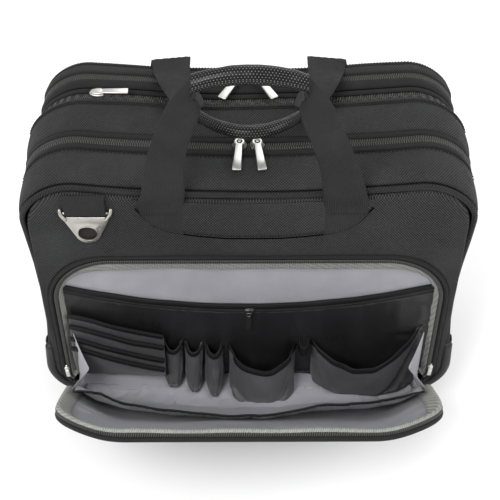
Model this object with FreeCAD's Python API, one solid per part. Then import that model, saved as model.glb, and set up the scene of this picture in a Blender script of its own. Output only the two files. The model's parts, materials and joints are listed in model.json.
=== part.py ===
"""Pilot rolling flight case: soft body, open organizer pocket, two carry handles, trolley and wheels.

X runs across the case, right positive. Y runs from the front (negative) to the back. Z is up.
The origin is on the floor, under the middle of the soft body. Every size is in millimetres.
One STEP file is written for each piece, in parts/.
"""

import FreeCAD, Part

import math
import os

V = FreeCAD.Vector
X_AXIS = V(1, 0, 0)

# Driving dimensions of the soft body.
BODY_W = 406.0
BODY_D = 176.0
BODY_H = 308.0
FLOOR_GAP = 20.0
TOP_RADIUS = 48.0
LOW_RADIUS = 48.0
FABRIC = 3.0
PIPING_R = 4.0
TOP_DROOP = 8.0
REAR_STEP = 7.0

BODY_LOW = FLOOR_GAP
BODY_TOP = FLOOR_GAP + BODY_H
FRONT = -BODY_D / 2
BACK = BODY_D / 2

# Rows along the depth: each value is where that band starts, counted from the front.
FRONT_GUSSET_Y = FRONT + 2 * PIPING_R
FRONT_ZIP_Y = FRONT + 50
MIDDLE_GUSSET_Y = FRONT_ZIP_Y + 24
EXPANSION_Y = MIDDLE_GUSSET_Y + 36
REAR_ZIP_Y = EXPANSION_Y + 25
REAR_GUSSET_Y = REAR_ZIP_Y + 24
REAR_EDGE_Y = BACK - 2 * PIPING_R
ZIP_END_Z = BODY_LOW + 60

# Where the coil of each zip runs along the depth.
FRONT_COIL_Y = FRONT_ZIP_Y + 12
EXPANSION_COIL_Y = EXPANSION_Y + 13.5
REAR_COIL_Y = REAR_ZIP_Y + 18
TAPE = 1.5
COIL_W = 5.0
WELT_W = 4.0

# Front organizer pocket and its flap.
MOUTH_W = 370.0
MOUTH_LOW = 45.0
MOUTH_TOP = 233.0
MOUTH_R = 58.0
MOUTH_LOW_R = 12.0
WALL_Y = FRONT + 8
FLAP_W = 356.0
FLAP_LEN = 184.0
FLAP_T = 4.0
FLAP_OPEN = 51.5
FLAP_HINGE = V(0, FRONT - 4, MOUTH_LOW)

# Zip sliders on the top. The rear pulls stand higher, to swing over the edge of the expansion zip.
STUD_R = 1.4
PULL_LEN = 35.0
FRONT_PULL_X = 8.0
REAR_PULL_X = 8.0
REAR_RISE = 2.6
EXPANSION_PULL_X = -140.0

# Carry handles.
WEBBING_W = 38.0
WEBBING_T = 2.6
STRAP_X = 78.0
STRAP_TOP_X = 67.0
STRAP_LOW_Z = 291.0
HANDLE_PIVOT_Z = BODY_TOP - 3
HANDLE_LEN = 116.0
HANDLE_START = 5.0
FRONT_LEAN = 4.0
REAR_LEAN = 79.0
GRIP_L = 104.0
GRIP_R = 9.0
STRAP_Y = BODY_D / 2 + 1.5

# Shoulder strap rings.
RING_X = 145.0
RING_PIVOT_Z = 299.0
RING_BAR_R = 1.6
RING_W = 46.0
RING_H = 38.0
RING_T = 3.0
RING_HOLE_R = 8.0

# Wheels and feet.
WHEEL_R = 33.0
FOOT_Y = FRONT + 50
WHEEL_W = 22.0
HUB_R = 26.0
WHEEL_X = 140.0
WHEEL_Y = 82.0
AXLE_R = 4.0
HOUSING_W = 36.0
HOUSING_WALL = 5.0
HOUSING_TOP = 76.0
HOUSING_Y0 = 42.0
HOUSING_Y1 = 100.0

# Trolley.
TUBE_X = 85.0
TUBE_W = 24.0
TUBE_D = 16.0
TUBE_WALL = 1.5
TUBE_GAP = 0.1
TUBE_LOW = 40.0
TUBE_TOP = 266.0
PLATE_T = 4.0
TUBE_Y = BACK + 0.5 + PLATE_T + TUBE_D / 2
GRIP_LOW = 273.0
GRIP_TOP = 295.0
TUBE_END = GRIP_TOP - 15


def box(x0, x1, y0, y1, z0, z1):
    return Part.makeBox(x1 - x0, y1 - y0, z1 - z0, V(x0, y0, z0))


def rod(radius, start, end):
    axis = end - start
    return Part.makeCylinder(radius, axis.Length, start, axis)


def turned(shape, pivot, degrees):
    """The shape turned about the X direction through a point."""
    copy = shape.copy()
    copy.rotate(pivot, X_AXIS, degrees)
    return copy


def mirrored(shape):
    return shape.mirror(V(0, 0, 0), X_AXIS)


def faced_back(shape):
    """The shape turned half a turn about the vertical through the origin."""
    copy = shape.copy()
    copy.rotate(V(0, 0, 0), V(0, 0, 1), 180)
    return copy


def fused(shapes):
    return shapes[0].multiFuse(shapes[1:]).removeSplitter()


def outline(half, low, high, r_low, r_high, y=0.0, droop=0.0):
    """A closed wire across the case: a rectangle whose low and high corners have their own radii.

    With a droop angle, the high corners turn that much further and a shallow arc sags between them.
    """

    def corner(side, level, radius, start, sweep=90.0):
        cx = side * (half - radius)
        cz = low + radius if level < 0 else high - radius
        turns = [math.radians(start + step) for step in (0, sweep / 2, sweep)]
        return [V(cx + radius * math.cos(a), y, cz + radius * math.sin(a)) for a in turns]

    corners = [
        corner(1, -1, r_low, -90),
        corner(1, 1, r_high, 0, 90 + droop),
        corner(-1, 1, r_high, 90 - droop, 90 + droop),
        corner(-1, -1, r_low, 180),
    ]
    edges = []
    for index, arc in enumerate(corners):
        start = corners[index - 1][2]
        if index == 2 and droop:
            sag = start.x * math.tan(math.radians(droop / 2))
            edges.append(Part.Arc(start, V(0, y, start.z - sag), arc[0]).toShape())
        else:
            edges.append(Part.makeLine(start, arc[0]))
        edges.append(Part.Arc(*arc).toShape())
    return Part.Wire(edges)


def slab(half, low, high, r_low, r_high, y0, y1, droop=0.0):
    face = Part.Face(outline(half, low, high, r_low, r_high, y0, droop))
    return face.extrude(V(0, y1 - y0, 0))


def rear_step(y):
    """How far the sides and the top are pulled in at a depth: the closed expansion zip draws them in."""
    if y < EXPANSION_Y:
        return 0.0
    return REAR_STEP / 2 if y < REAR_ZIP_Y else REAR_STEP


def body_outline(inset, y, step):
    half = BODY_W / 2 - inset - step
    high = BODY_TOP - inset - step
    return outline(half, BODY_LOW + inset, high, LOW_RADIUS - inset, TOP_RADIUS - inset, y, TOP_DROOP)


def top_height(x, y):
    """Height of the sagging top at a place across the case."""
    droop = math.radians(TOP_DROOP)
    shoulder_x = BODY_W / 2 - TOP_RADIUS - TOP_RADIUS * math.sin(droop)
    shoulder_z = BODY_TOP - TOP_RADIUS * (1 - math.cos(droop)) - rear_step(y)
    radius = shoulder_x / math.sin(droop)
    return shoulder_z + radius * math.cos(droop) - math.sqrt(radius**2 - x**2)


def body_slab(inset, y0, y1):
    face = Part.Face(body_outline(inset, y0, rear_step((y0 + y1) / 2)))
    return face.extrude(V(0, y1 - y0, 0))


def body_ring(inset, thickness, y0, y1):
    return body_slab(inset, y0, y1).cut(body_slab(inset + thickness, y0, y1))


def wheel_bays():
    """The room that the two wheel housings take out of the soft body."""
    gap = 0.4
    half = HOUSING_W / 2 + gap
    bays = []
    for x in (-WHEEL_X, WHEEL_X):
        bays.append(box(x - half, x + half, HOUSING_Y0 - gap, BACK + 40, 0, HOUSING_TOP + gap))
    return bays


def above(shape, z):
    return shape.common(box(-300, 300, -300, 300, z, 500))


def below(shape, z):
    return shape.common(box(-300, 300, -300, 300, 0, z))


# Soft body -------------------------------------------------------------------------------------


def edge_piping():
    """Two cords, round the front edge and round the back edge of the body."""
    cords = []
    for y in (FRONT + PIPING_R, BACK - PIPING_R):
        wire = body_outline(PIPING_R, y, rear_step(y))
        start = wire.Edges[0].Vertexes[0].Point
        circle = Part.Wire(Part.makeCircle(PIPING_R, start, X_AXIS))
        cords.append(wire.makePipeShell([circle], True, False))
    cords[1] = cords[1].cut(fused(wheel_bays()))
    return Part.makeCompound(cords)


def front_panel():
    """The front face, with the mouth of the organizer pocket cut through it."""
    y0 = FRONT + 2
    panel = body_slab(2 * PIPING_R, y0, y0 + FABRIC)
    mouth = slab(MOUTH_W / 2, MOUTH_LOW, MOUTH_TOP, MOUTH_LOW_R, MOUTH_R, y0 - 1, y0 + FABRIC + 1)
    return panel.cut(mouth)


def rear_panel():
    y1 = BACK - 2
    return body_slab(2 * PIPING_R, y1 - FABRIC, y1).cut(fused(wheel_bays()))


def front_gusset():
    return body_ring(0.5, FABRIC, FRONT_GUSSET_Y, FRONT_ZIP_Y)


def middle_gusset():
    """The band between the front zip and the expansion zip, with the fabric hinge under the front zip."""
    band = body_ring(0.5, FABRIC, MIDDLE_GUSSET_Y, EXPANSION_Y)
    hinge = below(body_ring(0.5, FABRIC, FRONT_ZIP_Y, MIDDLE_GUSSET_Y), ZIP_END_Z)
    return fused([band, hinge])


def zip_band(y0, y1, coil_y, welts):
    """Tape with a raised coil along it, and a ribbed welt on each side where it has them."""
    pieces = [body_ring(2.0, TAPE, y0, y1)]
    pieces.append(body_ring(0.8, 1.6, coil_y - COIL_W / 2, coil_y + COIL_W / 2))
    if welts:
        pieces.append(body_ring(0.2, 2.5, y0, y0 + WELT_W))
        pieces.append(body_ring(0.2, 2.5, y1 - WELT_W, y1))
    return fused(pieces)


def front_zip_tape():
    return above(zip_band(FRONT_ZIP_Y, MIDDLE_GUSSET_Y, FRONT_COIL_Y, False), ZIP_END_Z)


def expansion_zip_tape():
    return zip_band(EXPANSION_Y, REAR_ZIP_Y, EXPANSION_COIL_Y, True).cut(fused(wheel_bays()))


def rear_zip_tape():
    return above(zip_band(REAR_ZIP_Y, REAR_GUSSET_Y, REAR_COIL_Y, False), ZIP_END_Z)


def rear_gusset():
    band = body_ring(0.5, FABRIC, REAR_GUSSET_Y, REAR_EDGE_Y)
    hinge = below(body_ring(0.5, FABRIC, REAR_ZIP_Y, REAR_GUSSET_Y), ZIP_END_Z)
    return fused([band, hinge]).cut(fused(wheel_bays()))


def base_board():
    """Stiff board on the floor of the main compartment."""
    low = BODY_LOW + FABRIC + 1
    return box(-150, 150, FRONT + 14, EXPANSION_Y + 12, low, low + 3)


def divider_panel():
    """Padded wall between the main compartment and the laptop compartment."""
    return slab(188, HOUSING_TOP + 6, BODY_TOP - 28, 12, 40, REAR_ZIP_Y, REAR_ZIP_Y + 4)


def laptop_sleeve():
    """Padded sleeve on the back wall, open at its top, with a webbing tab over the mouth."""
    back = REAR_EDGE_Y - 2
    outer = slab(172, HOUSING_TOP + 12, 270, 14, 14, back - 12, back)
    room = slab(166, HOUSING_TOP + 18, 280, 8, 1, back - 9, back - 3)
    return outer.cut(room)


def corner_guards():
    """Moulded guards that wrap the front lower corners."""
    out = 3.0
    lip = 9.0
    half = BODY_W / 2 + out
    radius = LOW_RADIUS + out
    blank = slab(half, BODY_LOW - out, BODY_TOP + out, radius, radius, FRONT - 2.5, FRONT + 28)
    blank = blank.cut(body_slab(0, FRONT - 0.1, FRONT + 30))
    blank = blank.cut(body_slab(lip, FRONT - 5, FRONT + 30))
    right = blank.common(box(132, 300, -300, 300, 0, 103))
    return Part.makeCompound([right, mirrored(right)])


def front_feet():
    feet = []
    for x in (-WHEEL_X, WHEEL_X):
        foot = Part.makeCone(11, 15, FLOOR_GAP + 0.5, V(x, FOOT_Y, 0))
        rim = Part.makeCylinder(18, 4, V(x, FOOT_Y, FLOOR_GAP - 3.5))
        feet.append(fused([foot, rim]))
    return Part.makeCompound(feet)


# Carry handles ---------------------------------------------------------------------------------


def handle_yoke():
    """Reinforcing patch on the front face under both straps, with a deep rounded lower edge."""
    patch = slab(122, 267, BODY_TOP - 9, 38, 4, FRONT + 0.4, FRONT + 1.9)
    return patch.common(body_slab(2 * PIPING_R, FRONT, FRONT + 3))


def strap_bases():
    """The four stitched-down ends of the carry straps."""
    y0 = -STRAP_Y - WEBBING_T / 2
    bases = []
    for x in (-STRAP_X, STRAP_X):
        half = WEBBING_W / 2
        end = box(x - half, x + half, y0, y0 + WEBBING_T, STRAP_LOW_Z, HANDLE_PIVOT_Z - 3)
        bases += [end, faced_back(end)]
    return Part.makeCompound(bases)


def handle_parts(sign, degrees):
    """Webbing loop and leather grip of one handle: sign is -1 at the front edge, 1 at the back edge."""
    pivot = V(0, sign * STRAP_Y, HANDLE_PIVOT_Z)
    low = pivot.z + HANDLE_START
    high = pivot.z + HANDLE_LEN
    half = WEBBING_W / 2
    grip_end = GRIP_L / 2
    right_half = [
        (STRAP_X - half, low),
        (STRAP_X + half, low),
        (STRAP_TOP_X + half, high - 18),
        (grip_end + 8, high + 6),
        (0, high + 6),
        (0, high - 6),
        (grip_end - 2, high - 6),
        (STRAP_TOP_X - half + 4, high - 24),
    ]
    corners = [V(x, pivot.y - WEBBING_T / 2, z) for x, z in right_half]
    side = Part.Face(Part.makePolygon(corners + corners[:1])).extrude(V(0, WEBBING_T, 0))
    webbing = fused([side, mirrored(side)])
    bar = rod(GRIP_R, V(-grip_end + 3, pivot.y, high), V(grip_end - 3, pivot.y, high))
    return turned(webbing, pivot, degrees), turned(bar.cut(webbing), pivot, degrees)


# Shoulder strap rings --------------------------------------------------------------------------


def shoulder_tab(top):
    """Webbing tab sewn into the front edge and folded round the bar of its ring."""
    y = -STRAP_Y
    half = WEBBING_W / 2
    strip = box(-RING_X - half, -RING_X + half, y - 1.3, y + 1.3, RING_PIVOT_Z, top)
    start = V(-RING_X - half, y - 1.2, RING_PIVOT_Z)
    end = V(-RING_X + half, y - 1.2, RING_PIVOT_Z)
    tab = fused([strip, rod(RING_BAR_R + 1.6, start, end)])
    return tab.cut(rod(RING_BAR_R + 0.3, start - X_AXIS, end + X_AXIS))


def shoulder_tabs():
    """The two tabs, at the front left and the back right."""
    top = BODY_TOP - 3
    return Part.makeCompound([shoulder_tab(top), faced_back(shoulder_tab(top - REAR_STEP))])


def ring_blank():
    """Flat triangular ring with a round eye, its two top corners curled on to a cross bar."""
    y = -STRAP_Y - 1.2
    z = RING_PIVOT_Z
    tip_r = 13.0
    tip_z = z - RING_H + tip_r
    half = RING_W / 2
    shoulder = V(-half, 0, 0)
    slope = math.degrees(math.atan2(z - 6 - tip_z, half - tip_r))
    lean = math.radians(slope)
    tangent = V(-tip_r * math.sin(lean), 0, tip_z - tip_r * math.cos(lean))
    start_y = y - RING_T / 2
    left = [V(shoulder.x, start_y, z - 5), V(tangent.x, start_y, tangent.z)]
    right = [V(-tangent.x, start_y, tangent.z), V(half, start_y, z - 5)]
    arc = Part.Arc(left[1], V(0, start_y, tip_z - tip_r), right[0]).toShape()
    edges = [
        Part.makeLine(left[0], left[1]),
        arc,
        Part.makeLine(right[0], right[1]),
        Part.makeLine(right[1], left[0]),
    ]
    plate = Part.Face(Part.Wire(edges)).extrude(V(0, RING_T, 0))
    plate = plate.cut(rod(RING_HOLE_R, V(0, y - 5, tip_z + 1), V(0, y + 5, tip_z + 1)))
    bar = rod(RING_BAR_R, V(-half + 1, y, z), V(half - 1, y, z))
    hooks = [box(s * half - 2, s * half + 2, y - 1.5, y + 1.5, z - 6, z + 2) for s in (-1, 1)]
    return fused([plate, bar] + hooks)


def shoulder_ring(side):
    ring = ring_blank()
    ring.translate(V(-RING_X, 0, 0))
    return ring if side == "front" else faced_back(ring)


# Organizer pocket ------------------------------------------------------------------------------


def pocket_rim():
    """Zip tape and ribbed binding round the inside of the pocket mouth."""
    half = MOUTH_W / 2
    y0 = FRONT + 5
    outer = slab(half + 6, MOUTH_LOW - 4, MOUTH_TOP + 6, MOUTH_LOW_R + 6, MOUTH_R + 6, y0, WALL_Y)
    inner = slab(half - 9, MOUTH_LOW + 2, MOUTH_TOP - 9, 6, MOUTH_R - 9, y0 - 1, WALL_Y + 1)
    return outer.cut(inner)


def organizer_wall():
    return slab(MOUTH_W / 2 + 4, MOUTH_LOW - 3, MOUTH_TOP + 4, 12, MOUTH_R + 4, WALL_Y, WALL_Y + 2)


def zipped_pocket():
    """Flat zipped pocket on the wall: its top edge sags towards the middle, with a zip just below it."""
    y1 = WALL_Y - 0.1
    y0 = y1 - 2.0
    half = MOUTH_W / 2 - 12
    ends_z = 187.0
    sag = 29.0
    left = V(-half, y0, ends_z)
    right = V(half, y0, ends_z)
    edges = [
        Part.Arc(left, V(0, y0, ends_z - sag), right).toShape(),
        Part.makeLine(right, V(half, y0, MOUTH_LOW + 8)),
        Part.makeLine(V(half, y0, MOUTH_LOW + 8), V(-half, y0, MOUTH_LOW + 8)),
        Part.makeLine(V(-half, y0, MOUTH_LOW + 8), left),
    ]
    panel = Part.Face(Part.Wire(edges)).extrude(V(0, y1 - y0, 0))
    return panel


def inner_zip_slider():
    """Slider of the wall pocket's zip, with its short pull."""
    y1 = WALL_Y - 2.4
    body = box(-5, 5, y1 - 3, y1, 146, 154)
    pull = box(-3, 3, y1 - 3, y1 - 1.4, 122, 147)
    return fused([body, pull])


def card_slots():
    """Four stepped card slots, each a thin pocket in front of the one above it."""
    slots = []
    for row in range(4):
        top = 162.0 - 18.0 * row
        y1 = WALL_Y - 2.3 - 1.1 * row
        slots.append(box(-172, -84, y1 - 1.1, y1, MOUTH_LOW + 10, top))
    return fused(slots)


def pen_loops():
    """Three upright tubes for pens, side by side."""
    tubes = []
    for x in (-73, -53, -33):
        y = WALL_Y - 7.0
        start = V(x, y, MOUTH_LOW + 12)
        tube = rod(4.6, start, V(x, y, 122))
        tubes.append(tube.cut(rod(3.7, start + V(0, 0, 3), V(x, y, 130))))
    return Part.makeCompound(tubes)


def open_pouch(x0, x1, top):
    """A shallow pouch, open at its top, with a wall 1.5 mm thick."""
    y1 = WALL_Y - 2.3
    y0 = FRONT - 2
    low = MOUTH_LOW + 10
    outer = box(x0, x1, y0, y1, low, top)
    return outer.cut(box(x0 + 1.5, x1 - 1.5, y0 + 1.5, y1 - 1.5, low + 3, top + 1))


def centre_pouch():
    return open_pouch(-20, 46, 104)


def right_pouch():
    return open_pouch(62, 168, 116)


def pocket_gussets():
    """Folding cloth triangles that hold the flap, at its left and right edges."""
    x0 = FLAP_W / 2 + 0.7
    reach = 92.0
    angle = math.radians(FLAP_OPEN)
    low = V(x0, FLAP_HINGE.y - 1, FLAP_HINGE.z + 3)
    wall = V(x0, FRONT - 1, MOUTH_LOW + reach)
    out = V(x0, low.y - reach * math.sin(angle), low.z + reach * math.cos(angle))
    right = Part.Face(Part.makePolygon([low, wall, out, low])).extrude(V(1.5, 0, 0))
    return Part.makeCompound([right, mirrored(right)])


def flap_slab(inset, y0, y1):
    low = FLAP_HINGE.z + 1 + inset
    high = FLAP_HINGE.z + 1 + FLAP_LEN - inset
    return slab(FLAP_W / 2 - inset, low, high, 10, MOUTH_R - 2 - inset, y0, y1)


def flap_panel():
    y1 = FLAP_HINGE.y - 2
    return turned(flap_slab(0, y1 - FLAP_T, y1), FLAP_HINGE, FLAP_OPEN)


def flap_binding():
    """Zip tape and ribbed binding round the flap's inner edge."""
    y0 = FLAP_HINGE.y - 2
    ring = flap_slab(0, y0, y0 + 1.5).cut(flap_slab(9, y0 - 1, y0 + 3))
    return turned(ring, FLAP_HINGE, FLAP_OPEN)


def flap_slip_pocket():
    """Open-topped slip pocket on the inside of the flap."""
    y0 = FLAP_HINGE.y - 2
    low = FLAP_HINGE.z + 12
    pocket = slab(FLAP_W / 2 - 12, low, low + 108, 6, 6, y0, y0 + 1.5)
    return turned(pocket, FLAP_HINGE, FLAP_OPEN)


def pocket_slider(side):
    """Slider of the flap's zip, parked at the lower end of its run."""
    x = FLAP_W / 2 + 7.2
    y1 = FRONT + 1.8
    body = box(x - 4, x + 4, y1 - 5, y1, 62, 74)
    pull = box(x - 2.5, x + 2.5, y1 - 5, y1 - 3, 48, 63)
    right = fused([body, pull])
    return right if side == "right" else mirrored(right)


# Zip sliders on the top ------------------------------------------------------------------------


def zip_slider(x, y, rise=0.0):
    """Slider body with an upright stud and a cap that keeps the pull on: rise makes the stud taller."""
    z0 = top_height(x, y) + 0.2
    body = box(x - 6.5, x + 6.5, y - 4.5, y + 4.5, z0, z0 + 3.4)
    stud = rod(STUD_R, V(x, y, z0 + 3), V(x, y, z0 + 6.4 + rise))
    cap = rod(STUD_R + 1.2, V(x, y, z0 + 5.6 + rise), V(x, y, z0 + 6.6 + rise))
    return fused([body, stud, cap])


def zip_pull(x, y, length, splay, rise=0.0):
    """Flat bar pull with an eye that swivels on the slider's stud: splay is its angle at rest."""
    z = top_height(x, y) + 3.8 + rise
    eye = rod(4.0, V(x, y, z), V(x, y, z + 1.8))
    neck = box(x - 2.2, x + 2.2, y - 9, y, z, z + 1.8)
    tag = box(x - 4, x + 4, y - length + 4, y - 7, z, z + 1.8)
    nose = Part.makeCylinder(4, 1.8, V(x, y - length + 4, z))
    pull = fused([eye, neck, tag, nose])
    pull = pull.cut(rod(STUD_R + 0.1, V(x, y, z - 1), V(x, y, z + 3)))
    pull.rotate(V(x, y, 0), V(0, 0, 1), splay)
    return pull


def expansion_slider():
    x = EXPANSION_PULL_X
    y = EXPANSION_COIL_Y
    z0 = top_height(x - 7, y) + 0.3
    body = box(x - 7, x + 7, y - 5, y + 5, z0, z0 + 3)
    pull = box(x + 5, x + 28, y - 3.5, y + 3.5, z0 + 1.2, z0 + 2.8)
    return fused([body, pull])


# Wheels ----------------------------------------------------------------------------------------


def wheel_housings():
    """Moulded wells that hold the wheels at the back of the base."""
    half = HOUSING_W / 2
    shell = box(-half, half, HOUSING_Y0, HOUSING_Y1, BODY_LOW, HOUSING_TOP)
    well = half - HOUSING_WALL
    room_r = WHEEL_R + 4
    room = rod(room_r, V(-well, WHEEL_Y, WHEEL_R), V(well, WHEEL_Y, WHEEL_R))
    under = box(-well, well, WHEEL_Y - room_r, WHEEL_Y + room_r, 0, WHEEL_R)
    behind = box(-well, well, WHEEL_Y, WHEEL_Y + room_r, 0, WHEEL_R + room_r)
    bore = rod(AXLE_R + 0.05, V(-half - 1, WHEEL_Y, WHEEL_R), V(half + 1, WHEEL_Y, WHEEL_R))
    shell = shell.cut(fused([room, under, behind])).cut(bore)
    housings = []
    for x in (-WHEEL_X, WHEEL_X):
        copy = shell.copy()
        copy.translate(V(x, 0, 0))
        housings.append(copy)
    return Part.makeCompound(housings)


def wheel_axles():
    """Headed steel pins, one through each housing."""
    pins = []
    half = HOUSING_W / 2
    for x in (-WHEEL_X, WHEEL_X):
        pins.append(rod(AXLE_R, V(x - half, WHEEL_Y, WHEEL_R), V(x + half, WHEEL_Y, WHEEL_R)))
    return Part.makeCompound(pins)


def wheel_hub(x):
    """Six-spoke hub with a boss that reaches nearly from wall to wall."""
    half = WHEEL_W / 2
    left = V(x - half + 1, WHEEL_Y, WHEEL_R)
    right = V(x + half - 1, WHEEL_Y, WHEEL_R)
    rim = rod(HUB_R, left, right).cut(rod(HUB_R - 4, left - X_AXIS, right + X_AXIS))
    boss = rod(9, V(x - half - 1, WHEEL_Y, WHEEL_R), V(x + half + 1, WHEEL_Y, WHEEL_R))
    web = rod(HUB_R - 2, V(x - 2, WHEEL_Y, WHEEL_R), V(x + 2, WHEEL_Y, WHEEL_R))
    spokes = []
    for index in range(6):
        reach = half - 3
        high = WHEEL_R + HUB_R - 2
        spoke = box(x - reach, x + reach, WHEEL_Y - 1.5, WHEEL_Y + 1.5, WHEEL_R + 6, high)
        spokes.append(turned(spoke, V(x, WHEEL_Y, WHEEL_R), 60 * index))
    hub = fused([rim, boss, web] + spokes)
    boss_end = V(half + 5, 0, 0)
    centre = V(x, WHEEL_Y, WHEEL_R)
    return hub.cut(rod(AXLE_R + 0.1, centre - boss_end, centre + boss_end))


def tyre(x):
    half = WHEEL_W / 2
    left = V(x - half, WHEEL_Y, WHEEL_R)
    right = V(x + half, WHEEL_Y, WHEEL_R)
    band = rod(WHEEL_R, left, right)
    rims = [edge for edge in band.Edges if edge.Closed]
    band = band.makeFillet(4, rims)
    return band.cut(rod(HUB_R, left - X_AXIS, right + X_AXIS))


# Trolley ---------------------------------------------------------------------------------------


def tube_pair(width, depth, wall, low, high):
    """Two rectangular tubes, side by side."""
    tubes = []
    for x in (-TUBE_X, TUBE_X):
        outer = box(x - width / 2, x + width / 2, TUBE_Y - depth / 2, TUBE_Y + depth / 2, low, high)
        w = width / 2 - wall
        d = depth / 2 - wall
        tubes.append(outer.cut(box(x - w, x + w, TUBE_Y - d, TUBE_Y + d, low - 1, high + 1)))
    return tubes


def trolley_housing():
    """Back plate with a block round the tubes' feet and a bezel round their tops."""
    y0 = BACK + 0.5
    plate = box(-112, 112, y0, y0 + PLATE_T, TUBE_LOW - 6, TUBE_TOP)
    pieces = [plate]
    w = TUBE_W / 2
    d = TUBE_D / 2
    rooms = []
    for x in (-TUBE_X, TUBE_X):
        rooms.append(box(x - w, x + w, TUBE_Y - d, TUBE_Y + d, TUBE_LOW, TUBE_TOP + 1))
        pieces.append(box(x - w - 4, x + w + 4, y0, TUBE_Y + d + 3, TUBE_LOW - 6, TUBE_LOW + 14))
        pieces.append(box(x - w - 4, x + w + 4, y0, TUBE_Y + d + 3, TUBE_TOP - 14, TUBE_TOP))
    return fused(pieces).cut(fused(rooms))


def outer_tubes():
    return Part.makeCompound(tube_pair(TUBE_W, TUBE_D, TUBE_WALL, TUBE_LOW, TUBE_TOP))


def middle_size():
    shrink = 2 * (TUBE_WALL + TUBE_GAP)
    return TUBE_W - shrink, TUBE_D - shrink


def middle_tubes():
    """Second stage, with a collar on each tube that stops it at the bezel."""
    width, depth = middle_size()
    tubes = tube_pair(width, depth, TUBE_WALL, TUBE_LOW + 4, TUBE_TOP + 5)
    w = TUBE_W / 2
    d = TUBE_D / 2
    pieces = []
    for x, tube in zip((-TUBE_X, TUBE_X), tubes):
        collar = box(x - w, x + w, TUBE_Y - d, TUBE_Y + d, TUBE_TOP + 0.5, TUBE_TOP + 5)
        hollow_x = width / 2
        hollow_y = TUBE_Y - depth / 2
        hollow = box(x - hollow_x, x + hollow_x, hollow_y, hollow_y + depth, TUBE_TOP, TUBE_TOP + 6)
        pieces.append(fused([tube, collar.cut(hollow)]))
    return Part.makeCompound(pieces)


def inner_size():
    width, depth = middle_size()
    shrink = 2 * (TUBE_WALL + TUBE_GAP)
    return width - shrink, depth - shrink


def inner_tubes():
    width, depth = inner_size()
    return Part.makeCompound(tube_pair(width, depth, 1.2, TUBE_LOW + 8, TUBE_END))


def trolley_grip():
    """Grip bar across both inner tubes, hollow, with an opening for the release button."""
    d = TUBE_D / 2
    blank = box(-100, 100, TUBE_Y - d, TUBE_Y + d, GRIP_LOW, GRIP_TOP)
    blank = blank.makeFillet(4, [edge for edge in blank.Edges if edge.Length > 100])
    width, depth = inner_size()
    sockets = []
    for x in (-TUBE_X, TUBE_X):
        w = width / 2
        h = depth / 2
        sockets.append(box(x - w, x + w, TUBE_Y - h, TUBE_Y + h, GRIP_LOW - 1, TUBE_END))
    cavity = box(-88, 88, TUBE_Y - 3.6, TUBE_Y + 3.6, GRIP_LOW + 3, GRIP_TOP - 4)
    mouth = box(-16.3, 16.3, TUBE_Y - 3.6, TUBE_Y + 3.6, GRIP_TOP - 6, GRIP_TOP + 1)
    return blank.cut(fused(sockets + [cavity, mouth]))


def release_button():
    low = GRIP_TOP - 7
    button = box(-16, 16, TUBE_Y - 3.3, TUBE_Y + 3.3, low, GRIP_TOP + 3)
    return button.makeFillet(1.2, [e for e in button.Edges if e.BoundBox.ZMin > GRIP_TOP])


def push_rods():
    """Cross bar under the button and the two rods that reach down the inner tubes."""
    high = GRIP_TOP - 7
    bar = box(-TUBE_X - 1.8, TUBE_X + 1.8, TUBE_Y - 1.8, TUBE_Y + 1.8, high - 3.4, high)
    rods = [rod(1.6, V(x, TUBE_Y, TUBE_LOW + 20), V(x, TUBE_Y, high - 1)) for x in (-TUBE_X, TUBE_X)]
    return fused([bar] + rods)


def write(name, shape):
    shape.exportStep(os.path.join("parts", name + ".step"))


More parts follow.
